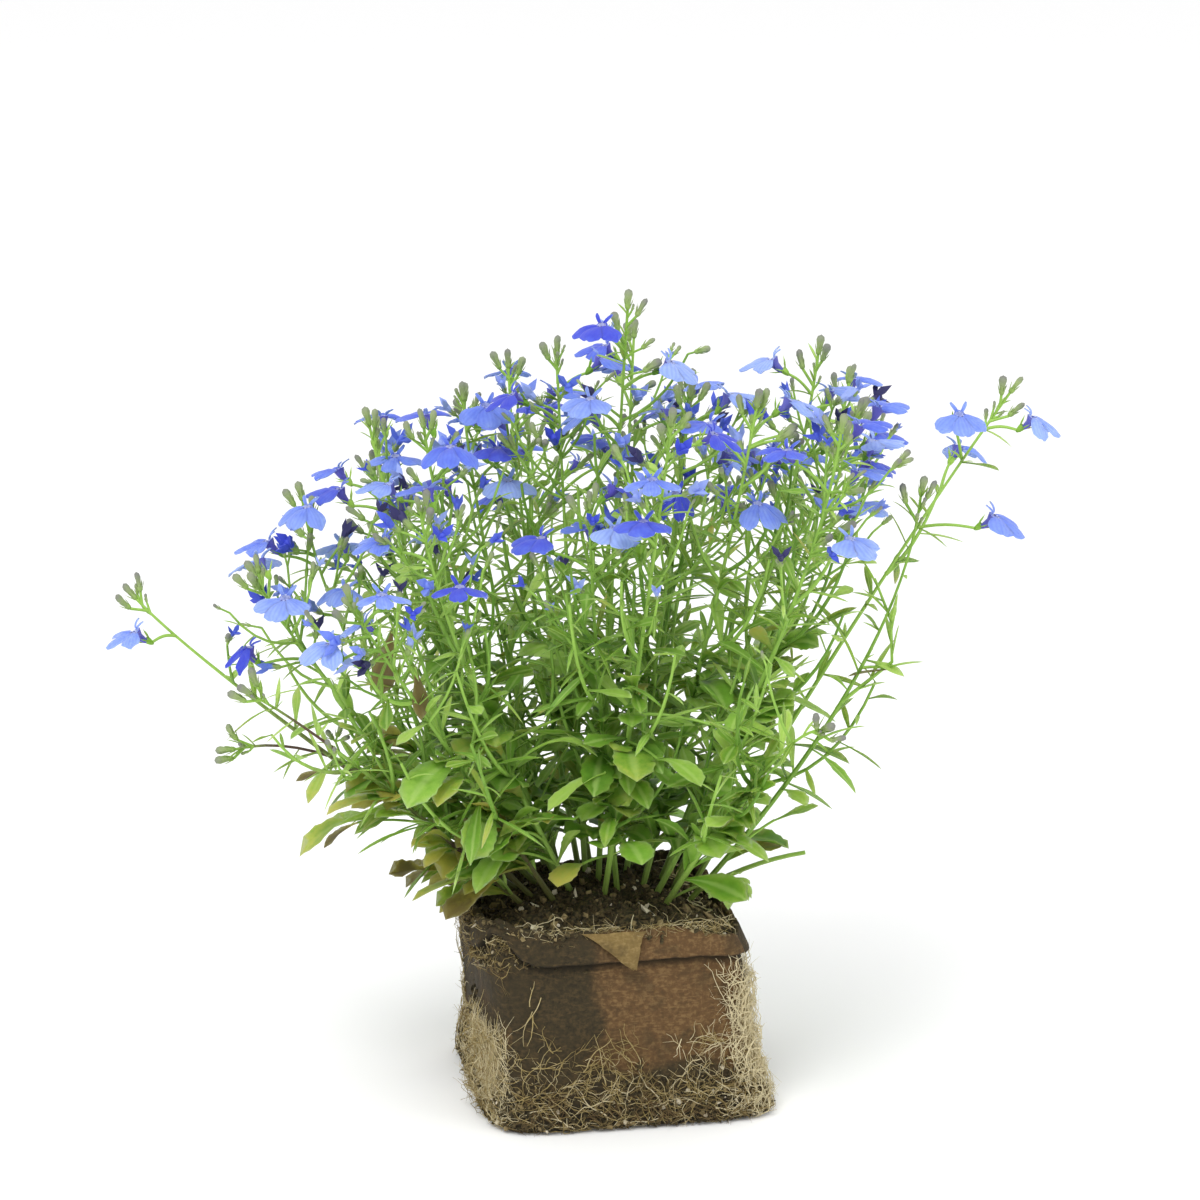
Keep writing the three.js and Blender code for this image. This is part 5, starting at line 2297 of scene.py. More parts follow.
def cup_skin(teeth_out: float) -> Skin:
    """The green cup at a bloom's foot, with its five teeth.

    Args:
        teeth_out: How far the teeth stand out at their tips.

    Returns:
        The cup's skin.
    """
    skin, rings = Skin(), []
    axis = unit(THROAT)
    second = np.cross(axis, RIGHT)
    values = {"along": 0.2, "aside": 0.6}
    for far, radius in ((-0.5, 0.42), (0.2, 0.8), (1.1, 1.05), (1.9, 1.0)):
        rings.append(skin.ring(circle(axis * far, RIGHT * radius, second * radius, 6), **values))
    foot = skin.corner(axis * -0.8, **values)
    skin.loft(rings, foot, skin.corner(axis * 1.5, **values))
    for out in circle(np.zeros(3), RIGHT, second, 5, math.tau / 20):
        foot = axis * 1.5 + out * 0.85
        needle(skin, foot, foot + axis * 2.6 + out * teeth_out, 0.34, aside=0.6)
    return skin


BUD_PROFILE = ((0, 0.4), (0.4, 0.75), (1.2, 0.92), (1.9, 0.75), (3.1, 0.95), (4.4, 1.25), (5.4, 1))


@dataclass(frozen=True)
class BudShape:
    """A bud along +Z: a green cup with teeth round a club that closes, or opens in three folded lobes."""

    fat: float
    bend: float
    flare: float = 0.0
    long: float = 6.0

    def skin(self) -> Skin:
        """The bud's skin.

        Returns:
            The bud's skin.
        """
        skin, rings = Skin(), []
        for far, radius in BUD_PROFILE:
            share = far / self.long
            wide = radius * (self.fat if share > 0.3 else 1)
            middle = vec(0, self.bend * share * share, far)
            rings.append(skin.ring(circle(middle, RIGHT * wide, BEHIND * wide, 7), along=share))
        foot = skin.corner(UP * -0.3, along=0.0)
        skin.loft(rings, foot, skin.corner(vec(0, self.bend, self.long), along=1.0))
        for out in circle(np.zeros(3), RIGHT, BEHIND, 5):
            needle(skin, out * 0.8 + UP * 1.2, out * 1.5 + UP * 3.5, 0.26)
        for out in circle(np.zeros(3), RIGHT, BEHIND, 3, 0.5) if self.flare else ():
            tip = out * self.flare + UP * (9.5 - 0.5 * self.flare)
            needle(skin, out * 0.5 + UP * 4.2, tip, 1.35, 0.6)
        return skin


BUD_SHAPES = (
    BudShape(1.0, 0.0),
    BudShape(0.85, 0.6),
    BudShape(0.7, -0.4),
    BudShape(0.95, 0.4, 2.4),
    BudShape(0.8, -0.5, 3.8),
)
CLOSED_BUDS = 3


@dataclass
class Kit:
    """The trees, shapes and finishes that the plant is grown with."""

    strand: Growth = field(default_factory=strand_growth)
    blade: Growth = field(default_factory=blade_growth)
    set_piece: Growth = field(default_factory=set_growth)
    litter: Growth = field(default_factory=litter_growth)
    finishes: tuple[Finish, ...] = (
        StemFinish("stem_green", 0.06),
        LeafFinish("leaf_green", 0.08, scatter=0.3),
        PetalFinish("petal_blue", 0.05, sheen=0.15, scatter=0.5, gloss=0.2, bleed=(0.7, 0.8, 1.0)),
        BudFinish("bud_grey_green", 0.06),
    )

    def __post_init__(self) -> None:
        """Makes the finishes and the boxes of shapes."""
        self.stem, self.leaf, self.petal, self.bud = (finish.material() for finish in self.finishes)
        self.leaf_shapes = shapes_box("leaf", [LEAF_SHAPES[kind].skin() for kind in Leaf])
        self.bloom_shapes = shapes_box("bloom", [shape.skin() for shape in BLOOM_SHAPES])
        self.cup_shapes = shapes_box("cup", [cup_skin(1.5), cup_skin(2.6)])
        self.bud_shapes = shapes_box("bud", [shape.skin() for shape in BUD_SHAPES])


# ---- The plant -------------------------------------------------------------------------------------


@dataclass(frozen=True)
class Sprig:
    """A single leaf or tuft on a stalk of its own, in the plant's axes."""

    shoot: int
    at: float
    end: tuple[float, float, float]
    heading: tuple[float, float, float]
    reach: float
    arch: float = 0.3
    shape: Leaf = Leaf.BROAD
    spread: float = 1.0
    tint: float = 0.6
    age: float = 0.1
    leaves: int = 1
    radius: float = 0.45


SPRIGS = (
    Sprig(27, 0.22, (-63, -10, 79), (-0.95, -0.05, 0.3), 24, 0.75, Leaf.WAVY, 0.95, 0.5, 0.34),
    Sprig(27, 0.3, (-70, -6, 77), (-0.9, 0, -0.3), 10, 0.4, Leaf.TOOTHED, 0.8, 0.4, 0.75),
    Sprig(26, 0.12, (44.5, -10, 79), (0.93, 0, 0.35), 13, 0.05, Leaf.BROAD, 0.75, 0.7),
    Sprig(26, 0.3, (36, -5, 95), (1, 0, 0.1), 14, 0.25, Leaf.TOOTHED, 1.3, 0.6),
    Sprig(19, 0.4, (40, -14, 117), (0.95, -0.1, -0.15), 21, 0.25, Leaf.BROAD, 0.8, 0.85),
    Sprig(15, 0.3, (-21, -30, 105), (0.9, -0.1, 0.6), 21, 0.65, Leaf.MIDDLE, 1.1, 0.9, 0.2),
    Sprig(14, 0.25, (-2, -32, 99), (-0.8, -0.35, -0.1), 17, 0.4, Leaf.BROAD, 1.0, 0.95),
    Sprig(14, 0.2, (-10, -30, 85.6), (-0.95, -0.2, 0.15), 21, 0.35, Leaf.WAVY, 1.05, 0.55, 0.3),
    Sprig(14, 0.1, (-8, -18, 69), (-0.5, -0.8, 0.35), 14, 0.6, Leaf.BROAD, 1.0, 0.6, 0.42),
    Sprig(28, 0.1, (-33, -26, 68), (-0.95, -0.25, 0.1), 22, 0.35, Leaf.BROAD, 1.15, 0.35, 0.36),
    Sprig(28, 0.14, (-45, -20, 68), (-1, 0, 0.15), 16, 0.2, Leaf.WAVY, 1.0, 0.2, 0.75),
    Sprig(28, 0.08, (-31, -22, 66), (-0.8, -0.6, -0.1), 18, 0.3, Leaf.BROAD, 1.0, 0.2, 0.7),
    Sprig(23, 0.5, (-58, -40, 140), (-0.2, -0.2, -0.9), 14, 0.2, Leaf.WAVY, 0.8, 0.3, 1.2),
    Sprig(23, 0.55, (-52, -42, 131), (0.1, -0.2, -0.9), 12, 0.2, Leaf.MIDDLE, 1.0, 0.3, 1.2),
    Sprig(27, 0.5, (-77, -4, 91), (-1, 0, -0.1), 10, 0.2, Leaf.MIDDLE, 0.8, 0.3, 1.2),
    Sprig(26, 0.56, (75, -22, 125), (-1, 0, -0.1), 12, 0.1, Leaf.MIDDLE, 0.6, 0.3, 1.2),
    Sprig(22, 0.35, (26, -34, 113), (0.85, -0.2, 0.25), 19, 0.45, Leaf.BROAD, 0.85, 0.9),
    Sprig(22, 0.3, (12, -36, 104), (0.6, -0.6, 0.2), 17, 0.5, Leaf.BROAD, 0.9, 0.75),
    Sprig(30, 0.3, (30, -32, 92), (0.7, -0.5, 0.4), 16, 0.4, Leaf.BROAD, 0.95, 0.8),
    Sprig(30, 0.2, (22, -26, 80), (0.4, -0.8, 0.3), 16, 0.5, Leaf.BROAD, 1.0, 0.7),
    Sprig(14, 0.15, (3, -24, 77), (0.3, -0.8, 0.3), 15, 0.5, Leaf.BROAD, 1.0, 0.5),
    Sprig(15, 0.15, (-24, -24, 80), (-0.5, -0.8, 0.3), 18, 0.45, Leaf.WAVY, 1.0, 0.5, 0.2),
    Sprig(15, 0.1, (-25, -24, 74), (-0.4, -0.7, 0.5), 15, 0.4, Leaf.BROAD, 1.0, 0.6),
    Sprig(30, 0.06, (32, -15, 64), (0.5, -0.4, 0.2), 8, 0.3, Leaf.MIDDLE, 0.55, 1.0, 0.0, 7),
    Sprig(26, 0.06, (53, -10, 69.7), (1, 0, 0.1), 0, radius=0.75),
)


@dataclass(frozen=True)
class PlantPart:
    """Shoots that are made together as one set of pieces."""

    name: str
    numbers: tuple[int, ...]


LEAF_GAPS = ((0.25, 4.6), (0.5, 3.8), (SPRAY_FROM, 5.0), (1.0, 7.5))
FIRST_DRAW = 500
LONG_RIGHT = 20
FORKED = 26


def solid_lobe_corner() -> Place:
    """The corner of a solid bloom's first lobe that tells its setting, in the bloom's own axes.

    Returns:
        The corner.
    """
    flat = spun(vec(-0.62 * 2.55, 0.94 * 8.2, 0), UP, math.radians(57))
    droop = math.radians(9)
    fall = 0.012 * flat.dot(flat) + flat[1] * math.sin(droop)
    return THROAT + vec(flat[0], flat[1] * math.cos(droop), 0.35 - fall)


@dataclass
class ShootGrower:
    """Grows one shoot: its stem, the pieces that its solids hold, and the small leaves between."""

    shoot: Shoot
    greens: Greens
    tops: Greens
    petals: Seeds

    def __post_init__(self) -> None:
        """Starts the shoot's own draws."""
        self.draw = random.Random(FIRST_DRAW + self.shoot.number)
        self.old = smooth(-self.shoot.tip[0], 20, 110)
        self.is_airy = self.greens.is_airy = self.shoot.number in HABIT.airy
        self.age = 0.2 + 0.8 * self.old * self.draw.random() + 0.1 * self.draw.random()
        self.tint = self.draw.uniform(0.45, 0.95)

    def off(self, at: float, low_deg: float, high_deg: float) -> Place:
        """A random direction off the stem, lifted by between two angles."""
        turn_deg, lift_deg = self.draw.uniform(0, 360), self.draw.uniform(low_deg, high_deg)
        return self.shoot.stem(at).off(turn_deg, lift_deg)

    def stalk(self, path: Sequence[Place], thick: Sequence[float], age: float = 0.2) -> None:
        """Adds a thin stem to the spray."""
        self.tops.strands.add(path, thick, self.tint, age)

    def tiny_leaf(
        self, root: Place, way: Place, long: tuple[float, float], arch: float, spread: float
    ) -> None:
        """Adds a tiny leaf to the spray.

        Args:
            root: Where it leaves its stem.
            way: The direction in which it leaves.
            long: Its least and greatest length.
            arch: How far its tip falls, as a share of its length.
            spread: Its width, as a multiple of its shape's.
        """
        reach, tint = self.draw.uniform(*long), self.draw.random()
        self.tops.free_leaf(root, way, reach, arch, Leaf.TINY, spread, tint=tint)

    def stems(self) -> None:
        """The shoot's own stem, in its leafy length and its spray."""
        shoot = self.shoot
        for greens, low, high, age in (
            (self.greens, 0.0, SPRAY_FROM, self.age),
            (self.tops, SPRAY_FROM, 1.0, 0.15 if shoot.blooms else self.age),
        ):
            steps = max(6, int(shoot.long * (high - low) / 6))
            shares = [lerp(low, high, i / steps) for i in range(steps + 1)]
            path, radii = [shoot.point(t) for t in shares], [shoot.radius(t) for t in shares]
            greens.strands.add(path, radii, self.tint, age)

    def leaves(self) -> None:
        """The leaves that the solid has, each the way it was set."""
        shoot, draw = self.shoot, self.draw
        for slot, plan in enumerate(LEAF_SLOTS):
            stem, keys, is_low = shoot.stem(plan.at), (shoot.number, slot), slot == 0
            scale = between(0.8, 1.12, 31, *keys)
            roll = math.radians(between(-25, 25, 32, *keys))
            reach, fall = plan.long * scale, -UP * plan.arch

            def tip(way: Way) -> Place:
                """The leaf's tip for a way."""
                return stem.middle + (stem.by(way, plan.lift_deg) + fall) * reach

            wanted_deg = 47 * shoot.number + GOLDEN_DEG * slot
            way = PACKED.way(shoot.leafy_node, wanted_deg, (3, *keys), tip)
            shape = plan.shapes[draw.random() < 0.5]
            looks = {
                "twist": draw.uniform(-0.3, 0.3),
                "tint": draw.random() * (0.6 if is_low else 1.0),
                "age": max(0.0, draw.gauss(0.1 + 0.5 * self.old if is_low else 0.06, 0.2)),
            }
            root, heading = shoot.point(plan.at), stem.by(way, plan.lift_deg)
            self.greens.leaf(root, heading, fall, reach, scale, shape, roll=roll, **looks)

    def blooms(self) -> None:
        """The blooms that the solid has, with their pedicels, cups and bracts."""
        shoot, lobe_corner = self.shoot, solid_lobe_corner()
        for slot in range(shoot.blooms):
            share = slot / (shoot.blooms - 1) if shoot.blooms > 1 else 0.5
            at, keys = lerp(0.69, 0.91, share), (shoot.number, slot)
            stem = shoot.stem(at)
            long = lerp(13, 9, share) * shoot.reach * between(0.85, 1.15, 11, *keys)
            lean = np.array(Matrix.Rotation(math.radians(between(-15, 15, 12, *keys)), 3, "X"))

            def setting(way: Way) -> tuple[Place, Place, np.ndarray]:
                """The pedicel's way and end and the bloom's turn for a way."""
                away = stem.by(way, 34)
                end = stem.middle + away * long
                ahead = unit(unit(vec(*away[:2], 0)) + unit(vec(*end[:2], 0)) * 0.7)
                return away, end, np.array([np.cross(ahead, UP), ahead, UP]).T @ lean

            def corner(way: Way) -> Place:
                """Where the corner of the first lobe is for a way."""
                _, end, turn = setting(way)
                return end + turn @ lobe_corner

            wanted_deg = shoot.turn_deg + 61 * shoot.number + GOLDEN_DEG * slot
            way = PACKED.way(shoot.top_node, wanted_deg, (1, *keys), corner)
            self.bloom(shoot.point(at), stem, *setting(way), share)

    def bloom(
        self, root: Place, stem: Stem, away: Place, end: Place, turn: np.ndarray, share: float
    ) -> None:
        """Adds one bloom with what carries it.

        Args:
            root: Where its pedicel leaves the stem.
            stem: The stem there.
            away: The pedicel's direction.
            end: The pedicel's end.
            turn: The bloom's turn.
            share: How far up the spray it is.
        """
        draw = self.draw
        euler = tuple(Matrix(turn.tolist()).to_euler())
        withered = share < 0.3 and draw.random() < 0.16
        kind = WITHERED if withered else draw.randrange(WITHERED)
        usual, apart = (0.85, 0.12) if self.is_airy else (0.52, 0.34)
        tint = -0.35 if withered else min(1.0, max(0.0, draw.gauss(usual, apart)))
        self.petals.add(end, turn=euler, size=draw.uniform(0.94, 1.08), kind=kind, tint=float(tint))
        self.tops.cups.add(end, turn=euler, size=1.0, kind=draw.randrange(2), tint=draw.random(), age=0.15)
        shares = np.linspace(0, 1, 7)
        path = [lerp(root, end, s) + UP * 0.9 * math.sin(math.pi * s) for s in shares]
        self.stalk(path, [lerp(0.5, 0.38, s) for s in shares], 0.25)
        self.tiny_leaf(root, unit(away - stem.ahead * 0.35), (6, 10), 0.25, 0.8)

    def buds(self) -> None:
        """The buds that the solid has, opening ones below them and the smallest ones round the tip."""
        shoot, draw = self.shoot, self.draw
        for slot, (at, long) in enumerate(((0.93, 5.5), (0.965, 4.0))):
            stem = shoot.stem(at)

            def setting(way: Way) -> tuple[Place, Place]:
                """The bud's foot and the way that it points, for a way."""
                away = stem.by(way, 52)
                return stem.middle + away * long, unit(away + UP * 0.6)

            def tip(way: Way) -> Place:
                """The bud's tip for a way."""
                end, upward = setting(way)
                return end + upward * 6

            wanted_deg = 83 * shoot.number + 170 * slot
            end, upward = setting(PACKED.way(shoot.top_node, wanted_deg, (2, shoot.number, slot), tip))
            self.bud(end, upward, 0.95)
            self.stalk([lerp(shoot.point(at), end, s) for s in (0, 0.35, 0.7, 1.0)], [0.5, 0.42, 0.4, 0.42])
        self.bud(shoot.ends[2], shoot.stem(1.0).ahead, 0.95)
        for _ in range(0 if self.is_airy else 5 if shoot.blooms > 1 else shoot.blooms):
            at = draw.uniform(0.68, 0.92)
            away = self.off(at, 20, 45)
            root, long = shoot.point(at), draw.uniform(5, 10)
            end = root + away * long
            self.stalk([root, root + away * long * 0.5 + UP * 0.4, end], [0.4, 0.35, 0.35])
            self.bud(end, unit(away + UP * 0.2), draw.uniform(0.8, 1.15), 0.85)
        for _ in range(3):
            at = draw.uniform(0.9, 0.99)
            away = self.off(at, 45, 65)
            end = shoot.point(at) + away * draw.uniform(1.5, 3.5)
            self.bud(end, unit(away + UP * 0.5), draw.uniform(0.3, 0.55))
            self.stalk([shoot.point(at), end], [0.35, 0.3])
        for _ in range(3):
            at = draw.uniform(0.88, 1.0)
            self.tiny_leaf(shoot.point(at), self.off(at, 35, 60), (4, 8), 0.1, 0.7)

    def bud(self, foot: Place, upward: Place, size: float, opens: float = 0.0) -> None:
        """Adds a bud.

        Args:
            foot: Its foot.
            upward: The way that it points.
            size: Its size, as a multiple of its shape's.
            opens: How often it is an opening one, and then now and then a spent one.
        """
        turn = Vector(upward).to_track_quat("Z", "Y").to_euler()
        tint = self.draw.random()
        kind, age = self.draw.randrange(CLOSED_BUDS), 0.1
        if self.draw.random() < opens:
            kind = self.draw.randrange(CLOSED_BUDS, len(BUD_SHAPES))
            age = 1.5 if self.draw.random() < 0.1 else 0.9
        self.tops.buds.add(foot, turn=tuple(turn), size=float(size), kind=kind, tint=tint, age=age)

    def small_leaves(self) -> None:
        """The leaves between those that the solid has, smaller towards the top."""
        shoot, draw = self.shoot, self.draw
        at, turn_deg = 0.3 if self.is_airy else 0.1, draw.uniform(0, 360)
        apart = 1 + 0.5 * smooth(abs(shoot.tip[0]), 45, 80) + self.is_airy
        while at < 0.9:
            greens = self.greens if at < SPRAY_FROM else self.tops
            turn_deg += GOLDEN_DEG
            lift_deg = draw.uniform(28, 52) if at < 0.3 else draw.uniform(12, 32)
            root, heading = shoot.point(at), shoot.stem(at).off(turn_deg, lift_deg)
            reach = lerp(21, 9, smooth(at, 0.1, 0.85)) * draw.uniform(0.75, 1.3)
            low = at < 0.4
            kinds = (Leaf.MIDDLE, Leaf.TOOTHED) if low else (Leaf.NARROW, Leaf.NARROW, Leaf.MIDDLE)
            shape = draw.choice(kinds)
            spread = (0.9 if low else 0.85) * draw.uniform(0.75, 1.15) * lerp(1, 0.65, at)
            arch = draw.uniform(0.0, 0.55 if low else 0.25)
            looks = {
                "tint": draw.random(),
                "age": max(0.0, draw.gauss(0.06 + 0.08 * self.old, 0.15)),
                "roll": draw.uniform(-0.5, 0.5),
                "twist": draw.uniform(-0.5, 0.5),
            }
            greens.free_leaf(root, heading, reach, arch, shape, spread, **looks)
            if draw.random() < 0.4:
                self.tuft(greens, root, heading, draw.uniform(3, 6))
            gap = next(gap for end, gap in LEAF_GAPS if at < end)
            at += gap * apart / shoot.long * draw.uniform(0.8, 1.3)

    def tuft(self, greens: Greens, root: Place, heading: Place, reach: float) -> None:
        """Adds a tuft of tiny leaves in a leaf's axil.

        Args:
            greens: What they are added to.
            root: Where the leaf leaves its stem.
            heading: The leaf's direction.
            reach: About how long they are.
        """
        for _ in range(3):
            away = unit(heading + astray(self.draw, 0.45) + UP * 0.3)
            size = reach * self.draw.uniform(0.7, 1.3)
            greens.free_leaf(root, away, size, 0.1, Leaf.TINY, size / 7, tint=self.draw.uniform(0.5, 1))

    def side_shoots(self) -> None:
        """Thin shoots from the leaf axils, with narrow leaves of their own."""
        shoot, draw = self.shoot, self.draw
        count = 2 * (shoot.number == LONG_RIGHT) if self.is_airy else 5 if shoot.long > 110 else 4
        for number in range(count):
            at = lerp(0.14, 0.6, (number + draw.random()) / count)
            away = self.off(at, 28, 48)
            long = lerp(58, 26, at / 0.62) * draw.uniform(0.7, 1.15)
            rise = unit(shoot.stem(at).ahead + UP * 0.7) * long * 0.6
            root, out = shoot.point(at), away * long
            places = [root + out * s * (1 - 0.45 * s) + rise * s * s for s in np.linspace(0, 1, 9)]
            held = self.is_airy or all(HABIT.holds(place) for place in places[1:])
            if not held or not has_room(places[1:], 1.5):
                continue
            tint, age = draw.uniform(0.2, 1.0), 0.05 + 0.6 * self.old * draw.random()
            self.greens.strands.add(places, np.linspace(0.65, 0.38, 9), tint, age)
            self.leaves_on(places, int(long / 4.4))

    def leaves_on(self, places: Sequence[Place], steps: int) -> None:
        """Adds narrow leaves along a side shoot.

        Args:
            places: The side shoot's path.
            steps: How many leaves it has.
        """
        draw, last = self.draw, len(places) - 1
        turn = draw.uniform(0, 360)
        for k in range(1, steps + 1):
            s = k / steps
            i = min(last - 1, int(s * last))
            place = lerp(places[i], places[i + 1], s * last - i)
            ahead = unit(places[i + 1] - places[i])
            across = unit(np.cross(ahead, vec(0.31, 0.87, 0.2)))
            turn += GOLDEN_DEG
            heading = Stem(place, ahead, across, np.cross(ahead, across)).off(turn, draw.uniform(14, 34))
            reach, arch = lerp(18, 8, s) * draw.uniform(0.75, 1.25), draw.uniform(0, 0.25)
            shape = draw.choice((Leaf.NARROW, Leaf.NARROW, Leaf.TINY, Leaf.MIDDLE))
            spread = lerp(0.95, 0.6, s) * draw.uniform(0.8, 1.1)
            looks = {"tint": draw.random(), "age": max(0.0, draw.gauss(0.08, 0.12))}
            roll = draw.uniform(-0.6, 0.6)
            self.greens.free_leaf(place, heading, reach, arch, shape, spread, roll=roll, **looks)

    def bud_sprays(self) -> None:
        """Thin sprays with small leaves and buds, between the blooms."""
        shoot, draw = self.shoot, self.draw
        for _ in range(1 if not shoot.blooms else 2 if self.is_airy else 6):
            at = draw.uniform(0.5, 0.8)
            away = self.off(at, 16, 34)
            long = draw.uniform(18, 34) * lerp(1.1, 0.7, at)
            root, upward = shoot.point(at), unit(away + UP * 0.6)
            places = [root + lerp(away, upward, s) * long * s for s in np.linspace(0, 1, 6)]
            if not all(HABIT.holds(place) and is_inside_box(place, -1) for place in places[1:]):
                continue
            self.tops.strands.add(places, np.linspace(0.45, 0.32, 6), draw.uniform(0.3, 1.0), 0.15)
            for k in (1, 3, 4):
                self.tiny_leaf(places[k], unit(away + astray(draw, 0.5)), (4, 9), 0.15, 0.75)
            for _ in range(draw.randint(1, 3)):
                way = unit(away + UP * 0.8 + astray(draw, 0.4))
                end = places[-1] + way * draw.uniform(1.0, 4.0)
                self.stalk([places[-1], end], [0.32, 0.3])
                self.bud(end, way, draw.uniform(0.45, 0.85), 0.35 if shoot.blooms else 0.0)

    def foot_leaves(self) -> None:
        """The broad leaves round the shoot's foot, low over the peat."""
        shoot, draw = self.shoot, self.draw
        forward, count = (-14, 16) if shoot.bend[1] < 0 else (0, 9)
        for number in range(0 if self.is_airy else count):
            at = draw.uniform(0.07, 0.17) if number < 4 else draw.uniform(0.16, 0.42)
            middle = shoot.stem(at).middle
            out = unit(vec(middle[0] + draw.gauss(0, 14), middle[1] + forward + draw.gauss(0, 14), 0))
            heading = unit(out + UP * draw.uniform(0.3, 1.5))
            shape = draw.choice((Leaf.BROAD, Leaf.WAVY, Leaf.BROAD, Leaf.TOOTHED))
            reach, arch = draw.uniform(14, 24), draw.uniform(0.25, 0.75)
            spread = reach / 21 * draw.uniform(0.85, 1.15)
            looks = {
                "tint": draw.uniform(0.0, 0.8),
                "age": max(0.0, min(0.3 + 0.7 * self.old, draw.gauss(0.08 + 0.3 * self.old, 0.22))),
                "roll": draw.uniform(-0.5, 0.5),
                "twist": draw.uniform(-0.6, 0.6),
            }
            self.greens.free_leaf(shoot.point(at), heading, reach, arch, shape, spread, **looks)

    def sprigs(self) -> None:
        """The shoot's leaves on stalks of their own."""
        for sprig in SPRIGS:
            if sprig.shoot != self.shoot.number:
                continue
            root, end = self.shoot.point(sprig.at), in_pot(sprig.end)
            guide = lerp(root, end, 0.5) + UP * 0.1 * np.linalg.norm(end - root)
            path = [bent(root, guide, end, s) for s in np.linspace(0, 1, 8)]
            radii = np.linspace(sprig.radius, sprig.radius * (0.8 if sprig.leaves else 1), 8)
            self.greens.strands.add(path, radii, 0.8, 0.1)
            for number in range(sprig.leaves if sprig.reach else 0):
                heading = unit(in_pot(sprig.heading) + astray(self.draw, 0.6 if number else 0.02))
                looks = {"tint": sprig.tint, "age": sprig.age, "roll": self.draw.uniform(-0.3, 0.3)}
                fall = -UP * sprig.arch
                self.greens.leaf(end, heading, fall, sprig.reach, sprig.spread, sprig.shape, **looks)

    def fork(self) -> None:
        """The side shoot that forks off the long stem on the right."""
        if self.shoot.number != FORKED:
            return
        further = (in_pot(place) for place in ((75, -22, 127), (74.5, -22, 138.5), (70, -22, 150)))
        places = [self.shoot.point(0.48), *further]
        self.greens.strands.add(places, (0.6, 0.5, 0.45, 0.35), 0.7, 0.1)
        for k in range(10):
            s = 0.3 + 0.27 * k
            start = min(2, int(s))
            first, second = places[start : start + 2]
            way = unit(unit(second - first) + astray(self.draw, 0.45))
            root, reach = lerp(first, second, s - start), self.draw.uniform(9, 15)
            self.greens.leaf(root, way, -UP * 0.1, reach, 0.8, Leaf.NARROW, tint=0.7)

    def grow(self) -> None:
        """Grows all of the shoot."""
        self.stems()
        self.leaves()
        self.blooms()
        self.buds()
        self.small_leaves()
        self.side_shoots()
        self.bud_sprays()
        self.foot_leaves()
        self.sprigs()
        self.fork()


@dataclass
class Plant:
    """The lobelia's shoots, in parts that are each made as one set of pieces."""

    parts: tuple[PlantPart, ...] = (
        PlantPart("left", (0, 1, 2, 3, 27, 28)),
        PlantPart("near_left", (4, 5, 6, 15, 23)),
        PlantPart("middle", (8, 9, 10, 11, 14, 22)),
        PlantPart("near_right", (12, 13, 16, 18, 19, 30)),
        PlantPart("right", (17, 20, 21, 26)),
        PlantPart("back", (7, 24, 25, 29)),
    )

    def build(self, kit: Kit) -> None:
        """Grows every part and hands its pieces over.

        Args:
            kit: The plant's shapes, growths and finishes.
        """
        for part in self.parts:
            greens, tops, petals = Greens(), Greens(), Seeds()
            shoots = [SHOOTS[number] for number in part.numbers]
            for shoot in shoots:
                ShootGrower(shoot, greens, tops if shoot.blooms else greens, petals).grow()
            leafy = [shoot.leafy_node for shoot in shoots]
            sprays = [shoot.top_node for shoot in shoots if shoot.blooms]
            hand_over(greens.build(f"leafy_shoots_{part.name}", kit), Slot.FOLIAGE, leafy)
            hand_over(tops.build(f"spray_stems_{part.name}", kit), Slot.FOLIAGE, sprays)
            keep = ("tint", "along", "aside", "under", "part")
            looks = {"Shapes": kit.bloom_shapes, "Finish": kit.petal}
            blooms = kit.set_piece.grow(petals.object("blooms"), keep, **looks)
            hand_over(joined(f"blooms_{part.name}", [blooms]), Slot.FLOWER, sprays)
        log.info("farthest that a piece is from its solid's own corner: %.4f mm", PACKED.worst)


# ---- Stage -----------------------------------------------------------------------------------------


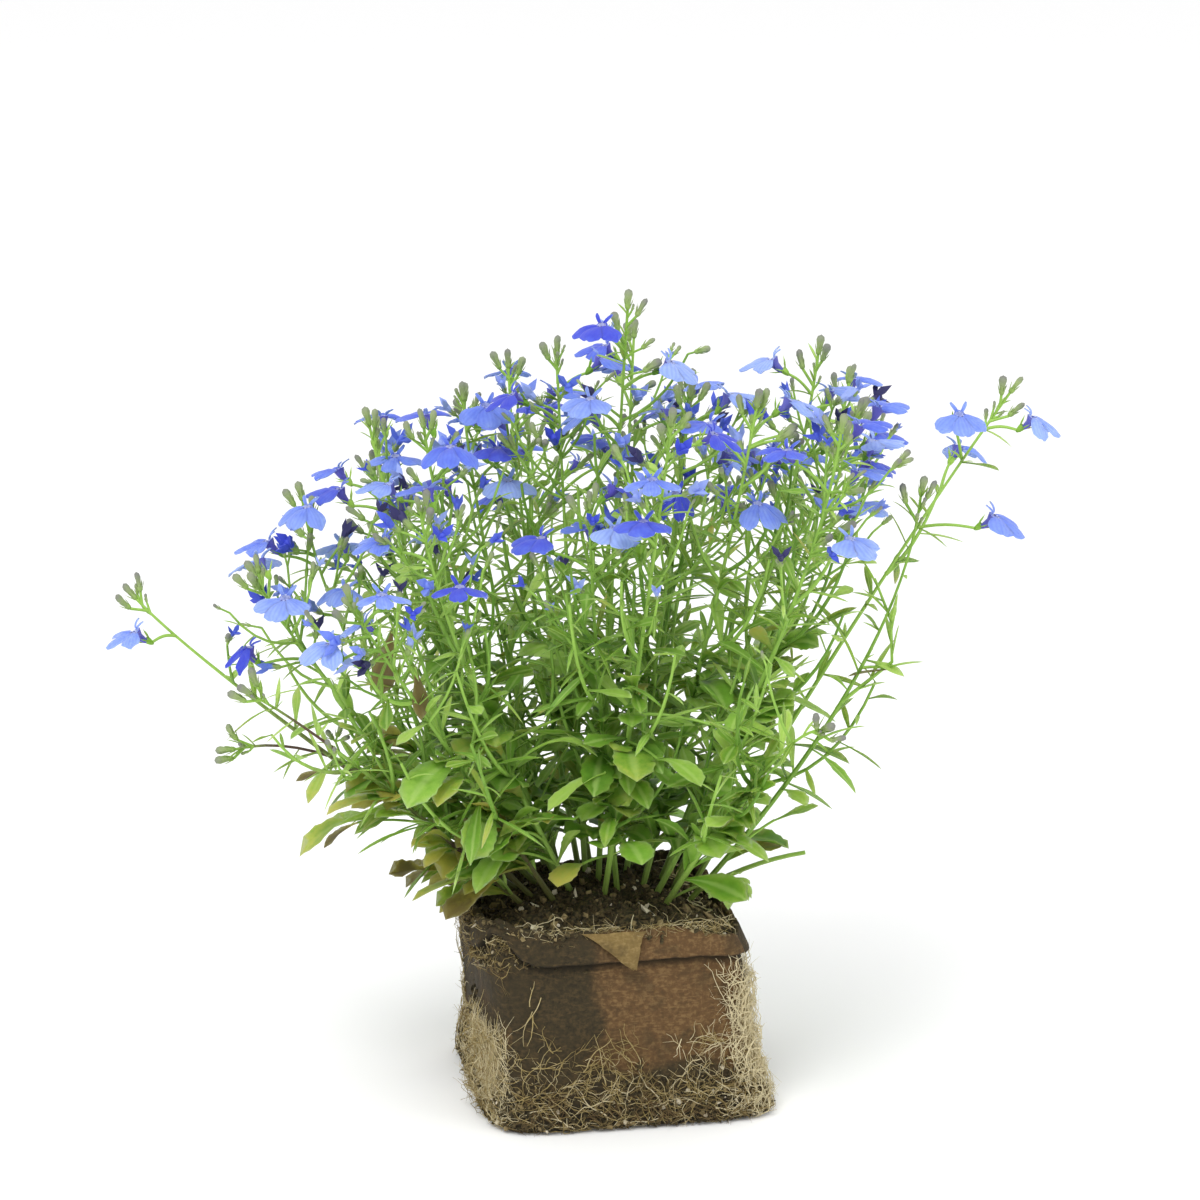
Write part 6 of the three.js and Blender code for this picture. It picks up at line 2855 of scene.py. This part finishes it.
@dataclass
class Stage:
    """The pale floor, soft light and the camera."""

    target: tuple[float, float, float] = (-3.24, 0.63, 138.6)
    distance: float = 1100.0
    azimuth_deg: float = -11.0
    elevation_deg: float = 14.0
    lens: float = 121.0
    floor_half: float = 9000.0
    floor_colour: Colour = (0.97, 0.97, 0.97)

    def floor(self) -> None:
        """A wide pale floor."""
        ways = (RIGHT + BEHIND, BEHIND - RIGHT, -RIGHT - BEHIND, RIGHT - BEHIND)
        floor = mesh_object("floor", [way * self.floor_half for way in ways], {}, faces=[(0, 1, 2, 3)])
        material = bpy.data.materials.new("pale_floor")
        material.use_nodes = True
        shader = material.node_tree.nodes["Principled BSDF"]
        shader.inputs["Base Color"].default_value = (*self.floor_colour, 1)
        shader.inputs["Roughness"].default_value = 0.9
        floor.data.materials.append(material)
        floor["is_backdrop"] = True

    @staticmethod
    def softbox(name: str, place: Sequence[float], size: float, watts: float) -> None:
        """A square soft light that faces the plant.

        Args:
            name: Its name.
            place: Where it is, in metres.
            size: Its width in metres.
            watts: Its power.
        """
        light = bpy.data.lights.new(name, "AREA")
        light.energy, light.size, light.shape = watts, size, "SQUARE"
        lamp = in_scene(name, light)
        lamp.location = place
        lamp.rotation_euler = (Vector(place) - Vector((0, 0, 0.1))).to_track_quat("Z", "Y").to_euler()

    def camera(self) -> None:
        """The camera, level with a buyer's eye in front of the pot."""
        turn, lift = math.radians(self.azimuth_deg), math.radians(self.elevation_deg)
        back = Vector((math.sin(turn) * math.cos(lift), -math.cos(turn) * math.cos(lift), math.sin(lift)))
        data = bpy.data.cameras.new("camera")
        data.lens, data.sensor_width = self.lens, 36.0
        camera = in_scene("camera", data)
        camera.location = (Vector(self.target) + back * self.distance) * MM
        camera.rotation_euler = back.to_track_quat("Z", "Y").to_euler()
        bpy.context.scene.camera = camera

    def build(self) -> None:
        """Sets the stage."""
        scene = bpy.context.scene
        scene.view_settings.view_transform = "Standard"
        world = bpy.data.worlds.new("soft_sky")
        world.use_nodes = True
        background = world.node_tree.nodes["Background"]
        background.inputs["Color"].default_value = (1, 1, 1, 1)
        background.inputs["Strength"].default_value = 1.0
        scene.world = world
        self.floor()
        self.softbox("key_softbox", (-0.6, -0.9, 1.6), 0.7, 15.0)
        self.softbox("fill_softbox", (1.1, -0.9, 0.9), 1.0, 3.0)
        self.camera()


def main() -> None:
    """Builds the plant in its pot."""
    logging.basicConfig(level=logging.INFO, format="%(name)s: %(message)s")
    Stage().build()
    kit = Kit()
    bed = PeatBed()
    crumbs = Crumbs(kit.litter, bed.finish.material())
    FibrePot().build(crumbs)
    bed.build(crumbs)
    RootNet().build(bed, kit.strand)
    Plant().build(kit)
    boxes = {"cad": CAD_BOX, "visual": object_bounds()}
    {name: [list(corner) for corner in box] for name, box in boxes.items()}


if __name__ == "__main__":
    main()
